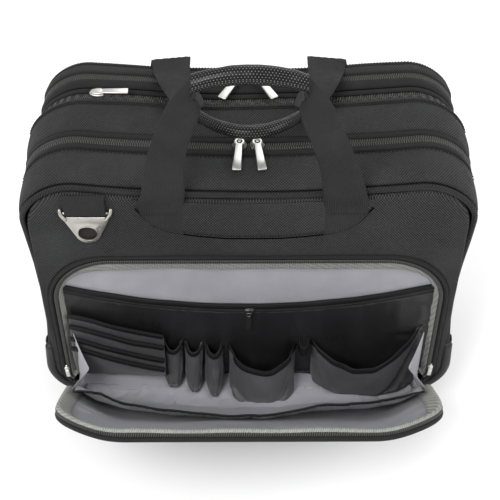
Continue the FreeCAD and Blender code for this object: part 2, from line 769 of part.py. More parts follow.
def main():
    os.makedirs("parts", exist_ok=True)
    front_webbing, front_grip = handle_parts(-1, -FRONT_LEAN)
    rear_webbing, rear_grip = handle_parts(1, REAR_LEAN)
    nodes = {
        "edge_piping": edge_piping(),
        "front_panel": front_panel(),
        "rear_panel": rear_panel(),
        "front_gusset": front_gusset(),
        "middle_gusset": middle_gusset(),
        "rear_gusset": rear_gusset(),
        "front_zip_tape": front_zip_tape(),
        "expansion_zip_tape": expansion_zip_tape(),
        "rear_zip_tape": rear_zip_tape(),
        "base_board": base_board(),
        "divider_panel": divider_panel(),
        "laptop_sleeve": laptop_sleeve(),
        "corner_guards": corner_guards(),
        "front_feet": front_feet(),
        "handle_yoke": handle_yoke(),
        "strap_bases": strap_bases(),
        "front_handle_webbing": front_webbing,
        "front_grip": front_grip,
        "rear_handle_webbing": rear_webbing,
        "rear_grip": rear_grip,
        "shoulder_tabs": shoulder_tabs(),
        "front_ring": shoulder_ring("front"),
        "rear_ring": shoulder_ring("rear"),
        "pocket_rim": pocket_rim(),
        "organizer_wall": organizer_wall(),
        "zipped_pocket": zipped_pocket(),
        "inner_zip_slider": inner_zip_slider(),
        "card_slots": card_slots(),
        "pen_loops": pen_loops(),
        "centre_pouch": centre_pouch(),
        "right_pouch": right_pouch(),
        "pocket_gussets": pocket_gussets(),
        "flap_panel": flap_panel(),
        "flap_binding": flap_binding(),
        "flap_slip_pocket": flap_slip_pocket(),
        "pocket_slider_left": pocket_slider("left"),
        "pocket_slider_right": pocket_slider("right"),
        "front_slider_left": zip_slider(-FRONT_PULL_X, FRONT_COIL_Y),
        "front_slider_right": zip_slider(FRONT_PULL_X, FRONT_COIL_Y),
        "front_pull_left": zip_pull(-FRONT_PULL_X, FRONT_COIL_Y, PULL_LEN, -4),
        "front_pull_right": zip_pull(FRONT_PULL_X, FRONT_COIL_Y, PULL_LEN, 7),
        "rear_slider_left": zip_slider(-REAR_PULL_X, REAR_COIL_Y, REAR_RISE),
        "rear_slider_right": zip_slider(REAR_PULL_X, REAR_COIL_Y, REAR_RISE),
        "rear_pull_left": zip_pull(-REAR_PULL_X, REAR_COIL_Y, PULL_LEN, -28, REAR_RISE),
        "rear_pull_right": zip_pull(REAR_PULL_X, REAR_COIL_Y, PULL_LEN, 28, REAR_RISE),
        "expansion_slider": expansion_slider(),
        "wheel_housings": wheel_housings(),
        "wheel_axles": wheel_axles(),
        "wheel_hub_left": wheel_hub(-WHEEL_X),
        "wheel_hub_right": wheel_hub(WHEEL_X),
        "tyre_left": tyre(-WHEEL_X),
        "tyre_right": tyre(WHEEL_X),
        "trolley_housing": trolley_housing(),
        "outer_tubes": outer_tubes(),
        "middle_tubes": middle_tubes(),
        "inner_tubes": inner_tubes(),
        "trolley_grip": trolley_grip(),
        "release_button": release_button(),
        "push_rods": push_rods(),
    }
    for name, shape in nodes.items():
        write(name, shape)


main()
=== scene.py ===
"""Visual model of a pilot rolling flight case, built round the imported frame.

Shapes are worked out in millimetres: X runs across the case, Y from its front to its back and Z up.
They are turned into metres when a mesh is made.
"""

import functools
import json
import math

import bmesh
import bpy
import numpy as np
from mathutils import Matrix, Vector


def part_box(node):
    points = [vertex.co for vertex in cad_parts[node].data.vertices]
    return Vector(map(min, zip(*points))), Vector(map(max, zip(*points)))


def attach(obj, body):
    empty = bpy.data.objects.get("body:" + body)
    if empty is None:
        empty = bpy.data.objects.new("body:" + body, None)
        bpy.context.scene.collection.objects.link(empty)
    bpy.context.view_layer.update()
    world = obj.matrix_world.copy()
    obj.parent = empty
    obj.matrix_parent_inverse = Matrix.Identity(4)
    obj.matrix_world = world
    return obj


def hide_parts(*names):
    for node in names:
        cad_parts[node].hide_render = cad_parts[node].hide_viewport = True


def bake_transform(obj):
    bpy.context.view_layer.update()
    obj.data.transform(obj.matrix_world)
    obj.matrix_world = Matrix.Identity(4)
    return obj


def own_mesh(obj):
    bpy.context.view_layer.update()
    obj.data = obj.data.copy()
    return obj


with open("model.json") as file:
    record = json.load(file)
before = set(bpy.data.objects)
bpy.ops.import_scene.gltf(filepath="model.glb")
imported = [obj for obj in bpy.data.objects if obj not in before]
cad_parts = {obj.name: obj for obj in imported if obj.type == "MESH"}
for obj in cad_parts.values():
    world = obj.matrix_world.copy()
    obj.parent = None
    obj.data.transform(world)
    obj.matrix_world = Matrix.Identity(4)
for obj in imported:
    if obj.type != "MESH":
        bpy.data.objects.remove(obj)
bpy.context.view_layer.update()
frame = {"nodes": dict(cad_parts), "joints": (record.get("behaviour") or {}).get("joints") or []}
MM = 0.001
Z_UP = np.array([0.0, 0.0, 1.0])
Y_FRONT = np.array([0.0, -1.0, 0.0])


def span(node):
    """Lowest and highest corner of a CAD node, in millimetres."""
    low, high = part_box(node)
    return np.array(low) / MM, np.array(high) / MM


# Sizes of the soft body, from the frame -----------------------------------------------------------

BODY_LOW, BODY_HIGH = span("edge_piping")
HALF = BODY_HIGH[0]
FRONT, BACK = BODY_LOW[1], BODY_HIGH[1]
LOW, TOP = BODY_LOW[2], BODY_HIGH[2]
CORNER_R = 48.0
DROOP = math.radians(8.0)
PIPING_R = 4.0
PIPING_W = 2 * PIPING_R
FRONT_ZIP_Y = span("front_zip_tape")[0][1]
MIDDLE_Y = span("front_zip_tape")[1][1]
EXPANSION_Y = span("expansion_zip_tape")[0][1]
REAR_ZIP_Y = span("rear_zip_tape")[0][1]
REAR_Y = span("rear_zip_tape")[1][1]
ZIP_END_Z = span("front_zip_tape")[0][2]
REAR_STEP = HALF - 0.5 - span("rear_gusset")[1][0]
FRONT_COIL_Y = FRONT_ZIP_Y + 12.0
EXPANSION_COIL_Y = EXPANSION_Y + 13.5
REAR_COIL_Y = REAR_ZIP_Y + 18.0

# Sizes of the organizer pocket and its flap.
WALL_Y = span("organizer_wall")[0][1]
MOUTH_HALF = span("pocket_rim")[1][0] - 6.0
MOUTH_LOW = span("pocket_rim")[0][2] + 4.0
MOUTH_TOP = span("pocket_rim")[1][2] - 6.0
MOUTH_R = 58.0
FLAP_HALF = span("flap_panel")[1][0]
FLAP_R = 56.0
FLAP_LEN = 184.0


def joint(name):
    return next(item for item in frame["joints"] if item["name"] == name)


def joint_at(name):
    """Where a joint is, in millimetres."""
    return np.array(joint(name)["pos_m"]) / MM


HINGE = joint_at("flap_hinge")
FLAP_OPEN = -math.radians(joint("flap_hinge")["range_deg"][0])


# Geometry helpers ---------------------------------------------------------------------------------


def join(*parts):
    """Joins coordinates that may differ in shape into one array of points."""
    return np.stack(np.broadcast_arrays(*parts), axis=-1)


def hand_name(hand):
    return "right" if hand > 0 else "left"


def smooth(low, high, value):
    t = np.clip((np.asarray(value, float) - low) / (high - low), 0.0, 1.0)
    return t * t * (3 - 2 * t)


def ripple(a, b, scale, seed):
    """Gentle waves over two coordinates, about -1 to 1, with a wavelength near the scale."""
    random = np.random.default_rng(seed)
    total = np.zeros(np.broadcast(a, b).shape)
    for _ in range(6):
        turn, phase, stretch = random.uniform(0, 1, 3)
        way = 2 * math.pi * turn
        reach = 2 * math.pi / (scale * (0.7 + stretch))
        total = total + np.sin(reach * (a * math.cos(way) + b * math.sin(way)) + 6.28 * phase)
    return total / 3.0


class Outline:
    """A rounded outline in X and Z, run from the bottom middle through +X and back to the start."""

    def __init__(self, half, low, high, r_low, r_high, droop=0.0):
        def arc(radius, cx, cz, start, end):
            turns = np.linspace(start, end, 60)
            return np.c_[cx + radius * np.cos(turns), cz + radius * np.sin(turns)]

        quarter = math.pi / 2
        low_arc = arc(r_low, half - r_low, low + r_low, -quarter, 0)
        high_arc = arc(r_high, half - r_high, high - r_high, 0, quarter + droop)
        end_x, end_z = high_arc[-1]
        xs = np.linspace(end_x, 0, 80)
        zs = np.full(80, end_z)
        if droop:
            radius = end_x / math.sin(droop)
            zs = end_z + radius * math.cos(droop) - np.sqrt(radius**2 - xs**2)
        bottom = np.array([[0.0, low], [half - r_low, low]])
        side = np.array([low_arc[-1], high_arc[0]])
        right = [bottom, low_arc, side, high_arc, np.c_[xs, zs]]
        left = [piece[::-1] * [-1, 1] for piece in right[::-1]]
        points = [right[0][:1]]
        stops = [0.0]
        length = 0.0
        for piece in right + left:
            points.append(piece[1:])
            length += np.linalg.norm(np.diff(piece, axis=0), axis=1).sum()
            stops.append(length)
        points = np.concatenate(points)
        steps = np.linalg.norm(np.diff(points, axis=0), axis=1)
        self.stops = stops
        self.length = length
        dense = np.linspace(0, length, 4001)
        self.s = dense
        self.x = np.interp(dense, np.r_[0, np.cumsum(steps)], points[:, 0])
        self.z = np.interp(dense, np.r_[0, np.cumsum(steps)], points[:, 1])
        dx, dz = self.slope(self.x), self.slope(self.z)
        size = np.hypot(dx, dz)
        self.nx = dz / size
        self.nz = -dx / size

    def slope(self, values):
        """Smoothed change of X or Z along the closed outline."""
        wrapped = np.r_[values[-9:-1], values, values[1:9]]
        return np.convolve(np.gradient(wrapped), np.ones(5) / 5, "same")[8:-8]

    def at(self, s):
        """X, Z and the outward direction at distances along the outline."""
        s = np.mod(s, self.length)
        return [np.interp(s, self.s, values) for values in (self.x, self.z, self.nx, self.nz)]

    def even(self, step, start=0.0, end=None):
        """Evenly spaced distances from start to end, or round the whole outline."""
        if end is None:
            count = int(round(self.length / step))
            return np.arange(count) * self.length / count
        return np.linspace(start, end, int(round((end - start) / step)) + 1)

    def matched(self, counts):
        """Distances with a set number in each stretch, so that two outlines pair up point by point."""
        parts = []
        for index, count in enumerate(list(counts) + list(counts)[::-1]):
            parts.append(np.linspace(self.stops[index], self.stops[index + 1], count, endpoint=False))
        return np.concatenate(parts)

    def level(self, z):
        """Distance along the outline at which its right side reaches a height."""
        side = (self.s > self.stops[1]) & (self.s < self.stops[4])
        return float(np.interp(z, self.z[side], self.s[side]))


BODY = Outline(HALF, LOW, TOP, CORNER_R, CORNER_R, DROOP)
MOUTH = Outline(MOUTH_HALF, MOUTH_LOW, MOUTH_TOP, 12.0, MOUTH_R)
FLAP = Outline(FLAP_HALF, 1.0, FLAP_LEN + 1.0, 10.0, FLAP_R)
ZIP_START = BODY.level(ZIP_END_Z)

WAIST_Z = (LOW, 70.0, 105.0, 140.0, 190.0, 225.0, 250.0, 290.0, 325.0)
WAIST_OUT = (0.0, 0.0, -1.6, -4.4, -5.0, -3.2, -1.0, 2.2, 0.0)


def top_rise(x, y):
    """How far the padded top swells above its frame: most at the back, where the padding is thickest."""
    return (1.0 + 4.2 * smooth(-75, 70, y)) * smooth(205, 95, np.abs(x))


def skin(s, y, out):
    """Points on the soft body: s is the way round, y the depth and out the height above the skin."""
    x, z, nx, nz = BODY.at(s)
    drawn = REAR_STEP * smooth(EXPANSION_Y - 3, EXPANSION_Y + 17, y) * np.clip(1 + nz, 0, 1)
    slack = np.interp(z, WAIST_Z, WAIST_OUT) * nx**2
    soft = 0.5 * ripple(s, y * 2, 90.0, 3) * np.clip(1 + nz, 0, 1)
    lift = out - drawn + slack + soft + top_rise(x, y) * np.clip(nz, 0, 1) ** 2
    return join(x + nx * lift, y, z + nz * lift)


def panel_bulge(x, z):
    """How far the front face stands proud of its seams."""
    near_rim = np.exp(-(((z - MOUTH_TOP - 12) / 12.0) ** 2)) * smooth(MOUTH_HALF, MOUTH_HALF - 60, np.abs(x))
    return 1.1 + 1.4 * near_rim + 0.7 * ripple(x, z, 80.0, 11)


def panel_point(x, z, out):
    """Points on the front face, or out millimetres in front of it."""
    return join(x, FRONT + 2.0 - panel_bulge(x, z) - out, z)


def flap_point(x, t, h):
    """Points on the open flap: t runs from its hinge to its rim and h up from its inner face.

    The cloth sags in a trough near the hinge, and its sides are held up by the gussets.
    """
    side = np.abs(x) / FLAP_HALF
    share = t / FLAP_LEN
    curl = 8.0 * smooth(0.5, 1.0, share) ** 2
    held = 17.0 * smooth(0.62, 1.0, side) * smooth(0.04, 0.42, share) * (1 - 0.45 * smooth(0.6, 1.0, share))
    trough = -13.0 * smooth(0, 16, t) * (1 - smooth(48, 130, t)) * (1 - 0.75 * smooth(0.8, 1.0, side))
    height = h - 2.0 + curl + held + trough
    y = HINGE[1] - t * math.sin(FLAP_OPEN) + height * math.cos(FLAP_OPEN)
    z = HINGE[2] + t * math.cos(FLAP_OPEN) + height * math.sin(FLAP_OPEN)
    return join(x, y, z)


# Mesh helpers -------------------------------------------------------------------------------------


def lengths(points, axis, closed):
    """Distance along one direction of a grid, taken at the middle of the other."""
    middle = np.take(points, points.shape[1 - axis] // 2, axis=1 - axis)
    if closed:
        middle = np.r_[middle, middle[:1]]
    return np.r_[0, np.cumsum(np.linalg.norm(np.diff(middle, axis=0), axis=1))]


def mesh_object(name, points, faces, material, uvs=None):
    mesh = bpy.data.meshes.new(name)
    mesh.from_pydata((np.asarray(points) * MM).tolist(), [], faces)
    mesh.polygons.foreach_set("use_smooth", [True] * len(mesh.polygons))
    if uvs is not None:
        layer = mesh.uv_layers.new(name="UVMap")
        layer.data.foreach_set("uv", (np.asarray(uvs) * MM).astype(np.float32).ravel())
    mesh.materials.append(material)
    mesh.update()
    made = bpy.data.objects.new(name, mesh)
    bpy.context.scene.collection.objects.link(made)
    return made


def sheet(name, points, material, ring=False, tube=False, flat=None, drop=None, flip=False):
    """A quad sheet over a grid of points. ring closes its first direction and tube its second.

    UVs are in metres along the cloth, or the flat grid where one is given. drop marks quads to leave out.
    """
    points = np.asarray(points, float)
    rows, cols = points.shape[:2]
    row_index = np.arange(rows if ring else rows - 1)
    col_index = np.arange(cols if tube else cols - 1)
    i, j = np.meshgrid(row_index, col_index, indexing="ij")
    if drop is not None:
        keep = ~drop[: i.shape[0], : i.shape[1]]
        i, j = i[keep], j[keep]
    i, j = i.ravel(), j.ravel()
    corners = [(i, j), (i, j + 1), (i + 1, j + 1), (i + 1, j)]
    if flip:
        corners.reverse()
    faces = np.stack([(a % rows) * cols + b % cols for a, b in corners], axis=1)
    if flat is None:
        u = lengths(points, 0, ring)
        v = lengths(points, 1, tube)
        uvs = np.stack([np.stack([u[a], v[b]], axis=-1) for a, b in corners], axis=1)
    else:
        uvs = np.stack([flat[a % rows, b % cols] for a, b in corners], axis=1)
    made = mesh_object(name, points.reshape(-1, 3), faces.tolist(), material, uvs.reshape(-1, 2))
    if drop is not None:
        loose_away(made)
    return made


def loose_away(made):
    """Removes points that no face uses."""
    mesh = made.data
    used = np.zeros(len(mesh.vertices), bool)
    index = np.zeros(len(mesh.loops), np.int32)
    mesh.loops.foreach_get("vertex_index", index)
    used[index] = True
    edit = bmesh.new()
    edit.from_mesh(mesh)
    edit.verts.ensure_lookup_table()
    bmesh.ops.delete(edit, geom=[edit.verts[k] for k in np.flatnonzero(~used)], context="VERTS")
    edit.to_mesh(mesh)
    edit.free()


def thicken(made, thickness, offset=-1.0):
    """Gives a sheet a thickness in millimetres: offset -1 puts it behind the drawn side."""
    change = made.modifiers.new("thickness", "SOLIDIFY")
    change.thickness = thickness * MM
    change.offset = offset
    change.use_quality_normals = True
    return made


def bevel(made, width, segments=2, angle=35.0):
    change = made.modifiers.new("bevel", "BEVEL")
    change.width = width * MM
    change.segments = segments
    change.limit_method = "ANGLE"
    change.angle_limit = math.radians(angle)
    change.harden_normals = False
    return made


def place(made, body, slot, *replaced):
    """Puts a piece on a body and hides the CAD nodes that it stands for; its slot is not used."""
    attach(made, body)
    if replaced:
        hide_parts(*replaced)
    return made


def bend_between(made):
    """Bakes a piece's placement into its mesh."""
    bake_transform(made)


def unit(vectors):
    return vectors / np.linalg.norm(vectors, axis=-1, keepdims=True)


def tangents(path, closed):
    if closed:
        return unit(np.roll(path, -1, axis=0) - np.roll(path, 1, axis=0))
    return unit(np.gradient(path, axis=0))


def cord(name, path, up, radius, material, closed=False, sides=10, rib=0.0, pitch=2.6, lean=1.0, flat=1.0):
    """A tube along a path. rib is the height of its ribs, lean how far each rib winds, flat its squashing."""
    path = np.asarray(path, float)
    along = tangents(path, closed)
    up = np.broadcast_to(up, path.shape)
    up = unit(up - along * np.sum(up * along, axis=1, keepdims=True))
    across = np.cross(along, up)
    way = lengths(path[:, None], 0, False)
    turn = np.arange(sides) * 2 * math.pi / sides
    radii = np.broadcast_to(np.asarray(radius, float), way.shape)[:, None]
    ribs = rib * np.cos(2 * math.pi * way[:, None] / pitch + lean * turn[None, :])
    reach = (radii + ribs)[:, :, None]
    turned = np.cos(turn)[None, :, None] * up[:, None] * flat + np.sin(turn)[None, :, None] * across[:, None]
    points = path[:, None] + reach * turned
    return sheet(name, points, material, ring=closed, tube=True)


def capped(name, path, up, radius, material, **options):
    """A cord whose open ends are drawn in to a rounded point."""
    path = np.asarray(path, float)
    way = lengths(path[:, None], 0, False)
    ends = np.minimum(way, way[-1] - way) / np.maximum(np.mean(radius), 1e-6)
    radii = radius * np.sqrt(np.clip(1 - (1 - np.clip(ends, 0.02, 1)) ** 2, 0, 1))
    return cord(name, path, up, radii, material, **options)


def stitch_row(name, path, up, material, length=2.6, gap=1.2, width=0.8, height=0.55):
    """A run of separate thread stitches that lie on a surface along a path."""
    path = np.asarray(path, float)
    up = np.broadcast_to(up, path.shape)
    way = lengths(path[:, None], 0, False)
    starts = np.arange(0.5, way[-1] - length, length + gap)
    shares = np.array([0.0, 0.18, 0.82, 1.0])
    turn = np.arange(5) * 2 * math.pi / 5
    vertices, faces = [], []
    for number, start in enumerate(starts):
        where = start + shares * length
        centre = np.stack([np.interp(where, way, path[:, k]) for k in range(3)], axis=-1)
        lift = unit(np.stack([np.interp(start + length / 2, way, up[:, k]) for k in range(3)], axis=-1))
        along = unit(centre[-1] - centre[0])
        across = np.cross(along, lift)
        size = np.array([0.15, 1.0, 1.0, 0.15])[:, None, None]
        ring = np.cos(turn)[None, :, None] * across * width / 2 + np.sin(turn)[None, :, None] * lift * height
        vertices.append((centre[:, None] + ring * size).reshape(-1, 3))
        base = number * 20
        for a in range(3):
            for b in range(5):
                c = (b + 1) % 5
                faces.append([base + a * 5 + b, base + a * 5 + c, base + a * 5 + 5 + c, base + a * 5 + 5 + b])
        faces.append([base + b for b in range(4, -1, -1)])
        faces.append([base + 15 + b for b in range(5)])
    return mesh_object(name, np.concatenate(vertices), faces, material)


# Materials ----------------------------------------------------------------------------------------

HOLE_GAP = 2.8
HOLE_ROW = 2.35
COIL_PITCH = 2.1
COIL_LEAN = 0.55
SMALL_PITCH = 2.0
SMALL_LEAN = 0.68


class Finish:
    """One procedural material, built from a few short calls."""

    def __init__(self, name):
        self.material = bpy.data.materials.new(name)
        self.material.use_nodes = True
        self.tree = self.material.node_tree
        self.shader = self.tree.nodes["Principled BSDF"]
        self.places = self.node("TexCoord")

    def node(self, kind, inputs=None, **settings):
        made = self.tree.nodes.new("ShaderNode" + kind)
        for key, value in settings.items():
            setattr(made, key, value)
        for key, value in (inputs or {}).items():
            self.put(made.inputs[key], value)
        return made

    def put(self, socket, value):
        if isinstance(value, bpy.types.NodeSocket):
            self.tree.links.new(value, socket)
        else:
            socket.default_value = value

    def math(self, operation, a, b=0.0, c=0.0):
        return self.node("Math", {0: a, 1: b, 2: c}, operation=operation).outputs[0]

    def cloth(self):
        """U and V in millimetres along the cloth."""
        split = self.node("SeparateXYZ", {0: self.places.outputs["UV"]})
        return [self.math("MULTIPLY", split.outputs[k], 1 / MM) for k in range(2)]

    def space(self):
        """X, Y and Z in millimetres."""
        split = self.node("SeparateXYZ", {0: self.places.outputs["Object"]})
        return [self.math("MULTIPLY", split.outputs[k], 1 / MM) for k in range(3)]

    def wave(self, along, pitch, shift=0.0):
        """A sine of one coordinate, from -1 to 1, that repeats every pitch millimetres."""
        return self.math("SINE", self.math("MULTIPLY_ADD", along, 2 * math.pi / pitch, shift))

    def noise(self, size, detail=3.0, rough=0.5):
        """Cloudy values from 0 to 1, with features near a size in millimetres."""
        inputs = {"Vector": self.places.outputs["Object"], "Scale": 1 / MM / size}
        inputs.update({"Detail": detail, "Roughness": rough})
        return self.node("TexNoise", inputs).outputs["Fac"]

    def spread(self, value, low, high, to_low=0.0, to_high=1.0):
        inputs = {"Value": value, "From Min": low, "From Max": high, "To Min": to_low, "To Max": to_high}
        return self.node("MapRange", inputs).outputs["Result"]

    def mix(self, share, first, second):
        made = self.node("Mix", {0: share}, data_type="RGBA")
        for socket, colour in ((made.inputs[6], first), (made.inputs[7], second)):
            self.put(socket, (*colour, 1.0) if isinstance(colour, tuple) else colour)
        return made.outputs[2]

    def done(self, colour, roughness, height=None, depth=0.0, fine=None, fine_depth=0.0, **shader):
        """Joins colour, roughness and up to two bump heights, with depths in millimetres."""
        self.put(self.shader.inputs["Base Color"], colour)
        self.put(self.shader.inputs["Roughness"], roughness)
        normal = None
        for value, reach in ((height, depth), (fine, fine_depth)):
            if value is not None:
                inputs = {"Height": value, "Distance": reach * MM, "Strength": 1.0}
                if normal is not None:
                    inputs["Normal"] = normal
                normal = self.node("Bump", inputs).outputs["Normal"]
        if normal is not None:
            self.put(self.shader.inputs["Normal"], normal)
        for key, value in shader.items():
            self.put(self.shader.inputs[key.replace("_", " ")], value)
        return self.material


def weave(name, dark, light, across, along, depth, roughness):
    """Basket-woven cloth: small raised cells, each row shifted by half a cell from the last. The cells are
    coloured lighter and the pits between them darker, as painted light and painted shade.
    """
    make = Finish(name)
    u, v = make.cloth()
    cells = make.spread(make.math("MULTIPLY", make.wave(u, across), make.wave(v, along)), -0.7, 0.8)
    thread = make.math("ABSOLUTE", make.wave(u, across / 2))
    worn = make.noise(60.0, 4.0)
    uneven = make.noise(2.6, 2.0)
    # Painted light on the raised cells and painted shade in the pits between them.
    shade = make.mix(cells, dark, light)
    shade = make.mix(make.spread(uneven, 0.35, 0.7, 0.0, 0.3), shade, dark)
    shade = make.mix(make.spread(worn, 0.4, 0.75, 0.0, 0.16), shade, tuple(1.5 * c for c in light))
    height = make.math("MULTIPLY_ADD", thread, 0.15, cells)
    rough = make.spread(make.noise(18.0), 0.3, 0.7, roughness - 0.08, roughness + 0.08)
    return make.done(shade, rough, height, depth, Specular_IOR_Level=0.16)


@functools.cache
def nylon():
    return weave("nylon", (0.0006, 0.0006, 0.0008), (0.060, 0.060, 0.061), 2.5, 3.3, 0.9, 0.66)


@functools.cache
def seam_shade():
    """A dark, dull strand whose colour is painted shadow, standing for the shade in a seam's groove."""
    make = Finish("seam_shade")
    strand = make.noise(0.8, 2.0)
    shade = make.mix(strand, (0.0004, 0.0004, 0.0004), (0.002, 0.002, 0.002))
    return make.done(shade, make.spread(strand, 0, 1, 0.85, 0.95), strand, 0.1, Specular_IOR_Level=0.03)


@functools.cache
def tape_cloth():
    """Close, smooth zip tape: a fine herringbone."""
    make = Finish("zip_tape")
    u, v = make.cloth()
    zigzag = make.math("ABSOLUTE", make.wave(v, 5.0))
    rib = make.wave(make.math("MULTIPLY_ADD", zigzag, 0.7, u), 0.9)
    shade = make.mix(make.spread(rib, -1, 1), (0.009, 0.009, 0.0095), (0.019, 0.019, 0.020))
    rough = make.spread(make.noise(12.0), 0.3, 0.7, 0.58, 0.74)
    return make.done(shade, rough, rib, 0.12, Specular_IOR_Level=0.16)


@functools.cache
def coil_plastic(pitch=COIL_PITCH, lean=COIL_LEAN, rows=2):
    """Spun nylon teeth with painted highlights on their crowns and painted shade in the gaps between them.
    Two rows meet along V = 0.
    """
    make = Finish(f"zip_coil_{rows}")
    u, v = make.cloth()
    slant = make.math("MULTIPLY", make.math("ABSOLUTE", v) if rows == 2 else v, lean)
    row = make.math("MULTIPLY_ADD", make.math("SIGN", v), math.pi / 2 * (rows - 1), slant)
    tooth = make.math("COSINE", make.math("MULTIPLY_ADD", u, 2 * math.pi / pitch, row))
    worn = make.noise(3.0, 2.0)
    # Painted highlight on each tooth's crown and painted shade in the gaps between the teeth.
    shade = make.mix(make.spread(tooth, -0.6, 0.8), (0.0008, 0.0008, 0.0008), (0.075, 0.075, 0.072))
    shade = make.mix(make.spread(worn, 0.4, 0.8, 0.0, 0.35), shade, (0.006, 0.006, 0.006))
    rough = make.spread(make.noise(5.0), 0.3, 0.7, 0.34, 0.46)
    return make.done(shade, rough, worn, 0.03, Specular_IOR_Level=0.22)


@functools.cache
def piping_cloth():
    make = Finish("piping")
    u, v = make.cloth()
    thread = make.wave(make.math("MULTIPLY_ADD", v, 0.9, u), 2.7)
    worn = make.noise(25.0)
    # Painted shade in the grooves between the cord's twisted ribs and painted light on their crowns,
    # following the thread wave.
    shade = make.mix(make.spread(thread, -0.9, 0.7), (0.0015, 0.0015, 0.0018), (0.030, 0.030, 0.031))
    shade = make.mix(make.spread(worn, 0.4, 0.75, 0.0, 0.3), shade, (0.034, 0.034, 0.035))
    return make.done(shade, make.spread(worn, 0, 1, 0.5, 0.7), thread, 0.45, Specular_IOR_Level=0.2)


def webbing_cloth(name, dark, light, bold=0.14, roughness=0.6):
    """Flat webbing: fine ribs along its length, crossed by close weft lines."""
    make = Finish(name)
    u, v = make.cloth()
    rib = make.wave(v, 1.25)
    weft = make.wave(make.math("MULTIPLY_ADD", make.math("SIGN", rib), 0.35, u), 0.8)
    height = make.math("MULTIPLY_ADD", weft, 0.5, rib)
    shade = make.mix(make.spread(height, -1.4, 1.4), dark, light)
    worn = make.noise(35.0)
    shade = make.mix(make.spread(worn, 0.4, 0.8, 0.0, 0.25), shade, tuple(1.8 * c for c in light))
    rough = make.spread(make.noise(9.0), 0.3, 0.7, roughness - 0.07, roughness + 0.07)
    return make.done(shade, rough, height, bold, Specular_IOR_Level=0.16)


@functools.cache
def webbing():
    return webbing_cloth("webbing", (0.007, 0.007, 0.0075), (0.030, 0.030, 0.031), 0.2)


@functools.cache
def binding_black():
    return webbing_cloth("binding_black", (0.004, 0.004, 0.0045), (0.010, 0.010, 0.0105), 0.1, 0.5)


@functools.cache
def leather():
    """Glossy black leather, punched with staggered rows of small holes, each coloured pale as a painted
    highlight on its rim.
    """
    make = Finish("perforated_leather")
    u, v = make.cloth()
    row = make.math("DIVIDE", v, HOLE_ROW)
    stagger = make.math("MULTIPLY", make.math("FLOORED_MODULO", make.math("FLOOR", row), 2.0), 0.5)
    column = make.math("ADD", make.math("DIVIDE", u, HOLE_GAP), stagger)
    across = make.math("SUBTRACT", make.math("FRACT", column), 0.5)
    up = make.math("SUBTRACT", make.math("FRACT", row), 0.5)
    sides = ((across, HOLE_GAP), (up, HOLE_ROW))
    squares = [make.math("POWER", make.math("MULTIPLY", part, size), 2.0) for part, size in sides]
    reach = make.math("SQRT", make.math("ADD", *squares))
    hole_and_glint = make.spread(reach, 0.48, 0.32)
    grain = make.noise(1.6, 4.0, 0.6)
    shade = make.mix(grain, (0.002, 0.002, 0.002), (0.007, 0.007, 0.007))
    # Painted highlight: the holes are coloured pale for the light caught on their rims.
    shade = make.mix(hole_and_glint, shade, (0.19, 0.19, 0.186))
    height = make.math("MULTIPLY_ADD", hole_and_glint, -1.0, make.math("MULTIPLY", grain, 0.35))
    rough = make.spread(make.noise(7.0), 0.3, 0.7, 0.27, 0.4)
    return make.done(shade, rough, height, 0.22, Specular_IOR_Level=0.2)


def satin(name, dark, light, roughness, depth=0.1, pitch=0.7, spec=0.4, sheen=0.1):
    """Smooth lining cloth: a close plain weave with soft cloudy shading."""
    make = Finish(name)
    u, v = make.cloth()
    grid = make.math("MULTIPLY", make.wave(u, pitch), make.wave(v, pitch))
    cloudy = make.noise(45.0, 2.0)
    shade = make.mix(make.spread(cloudy, 0.25, 0.75), dark, light)
    shade = make.mix(make.spread(grid, -1, 1, 0.0, 0.12), shade, tuple(0.5 * c for c in dark))
    rough = make.spread(make.noise(14.0), 0.3, 0.7, roughness - 0.06, roughness + 0.06)
    creases = make.noise(9.0, 2.0)
    return make.done(shade, rough, grid, depth, creases, 0.25, Sheen_Weight=sheen, Specular_IOR_Level=spec)


@functools.cache
def lining():
    return satin("lining", (0.29, 0.29, 0.318), (0.37, 0.37, 0.40), 0.5)


@functools.cache
def pocket_satin():
    return satin("pocket_satin", (0.034, 0.033, 0.036), (0.068, 0.066, 0.071), 0.34, 0.06)


@functools.cache
def black_satin():
    dark, light = (0.007, 0.007, 0.0075), (0.014, 0.014, 0.015)
    return satin("black_satin", dark, light, 0.33, 0.06, spec=0.5, sheen=0.0)


@functools.cache
def pale_binding():
    """Pale greenish-grey tape with close ribs across it."""
    make = Finish("pale_binding")
    u, v = make.cloth()
    rib = make.wave(make.math("MULTIPLY_ADD", v, 0.35, u), 2.3)
    cross = make.wave(v, 1.1)
    height = make.math("MULTIPLY_ADD", cross, 0.3, rib)
    shade = make.mix(make.spread(height, -1.3, 1.3), (0.13, 0.134, 0.122), (0.31, 0.315, 0.29))
    worn = make.noise(20.0)
    shade = make.mix(make.spread(worn, 0.35, 0.75, 0.0, 0.3), shade, (0.38, 0.385, 0.36))
    return make.done(shade, make.spread(worn, 0, 1, 0.45, 0.65), height, 0.2, Sheen_Weight=0.1)


@functools.cache
def moulded(name="moulded_plastic", shade=0.012, coarse=1.1):
    """Black moulded plastic with a fine sparked grain, rubbed paler in places."""
    make = Finish(name)
    grain = make.noise(coarse, 3.0, 0.6)
    worn = make.noise(28.0, 5.0)
    colour = make.mix(make.spread(grain, 0.3, 0.7), (shade * 0.6,) * 3, (shade * 1.3,) * 3)
    colour = make.mix(make.spread(worn, 0.55, 0.8, 0.0, 0.35), colour, (shade * 2.6,) * 3)
    rough = make.spread(worn, 0.3, 0.7, 0.38, 0.6)
    return make.done(colour, rough, grain, 0.12, Specular_IOR_Level=0.3)


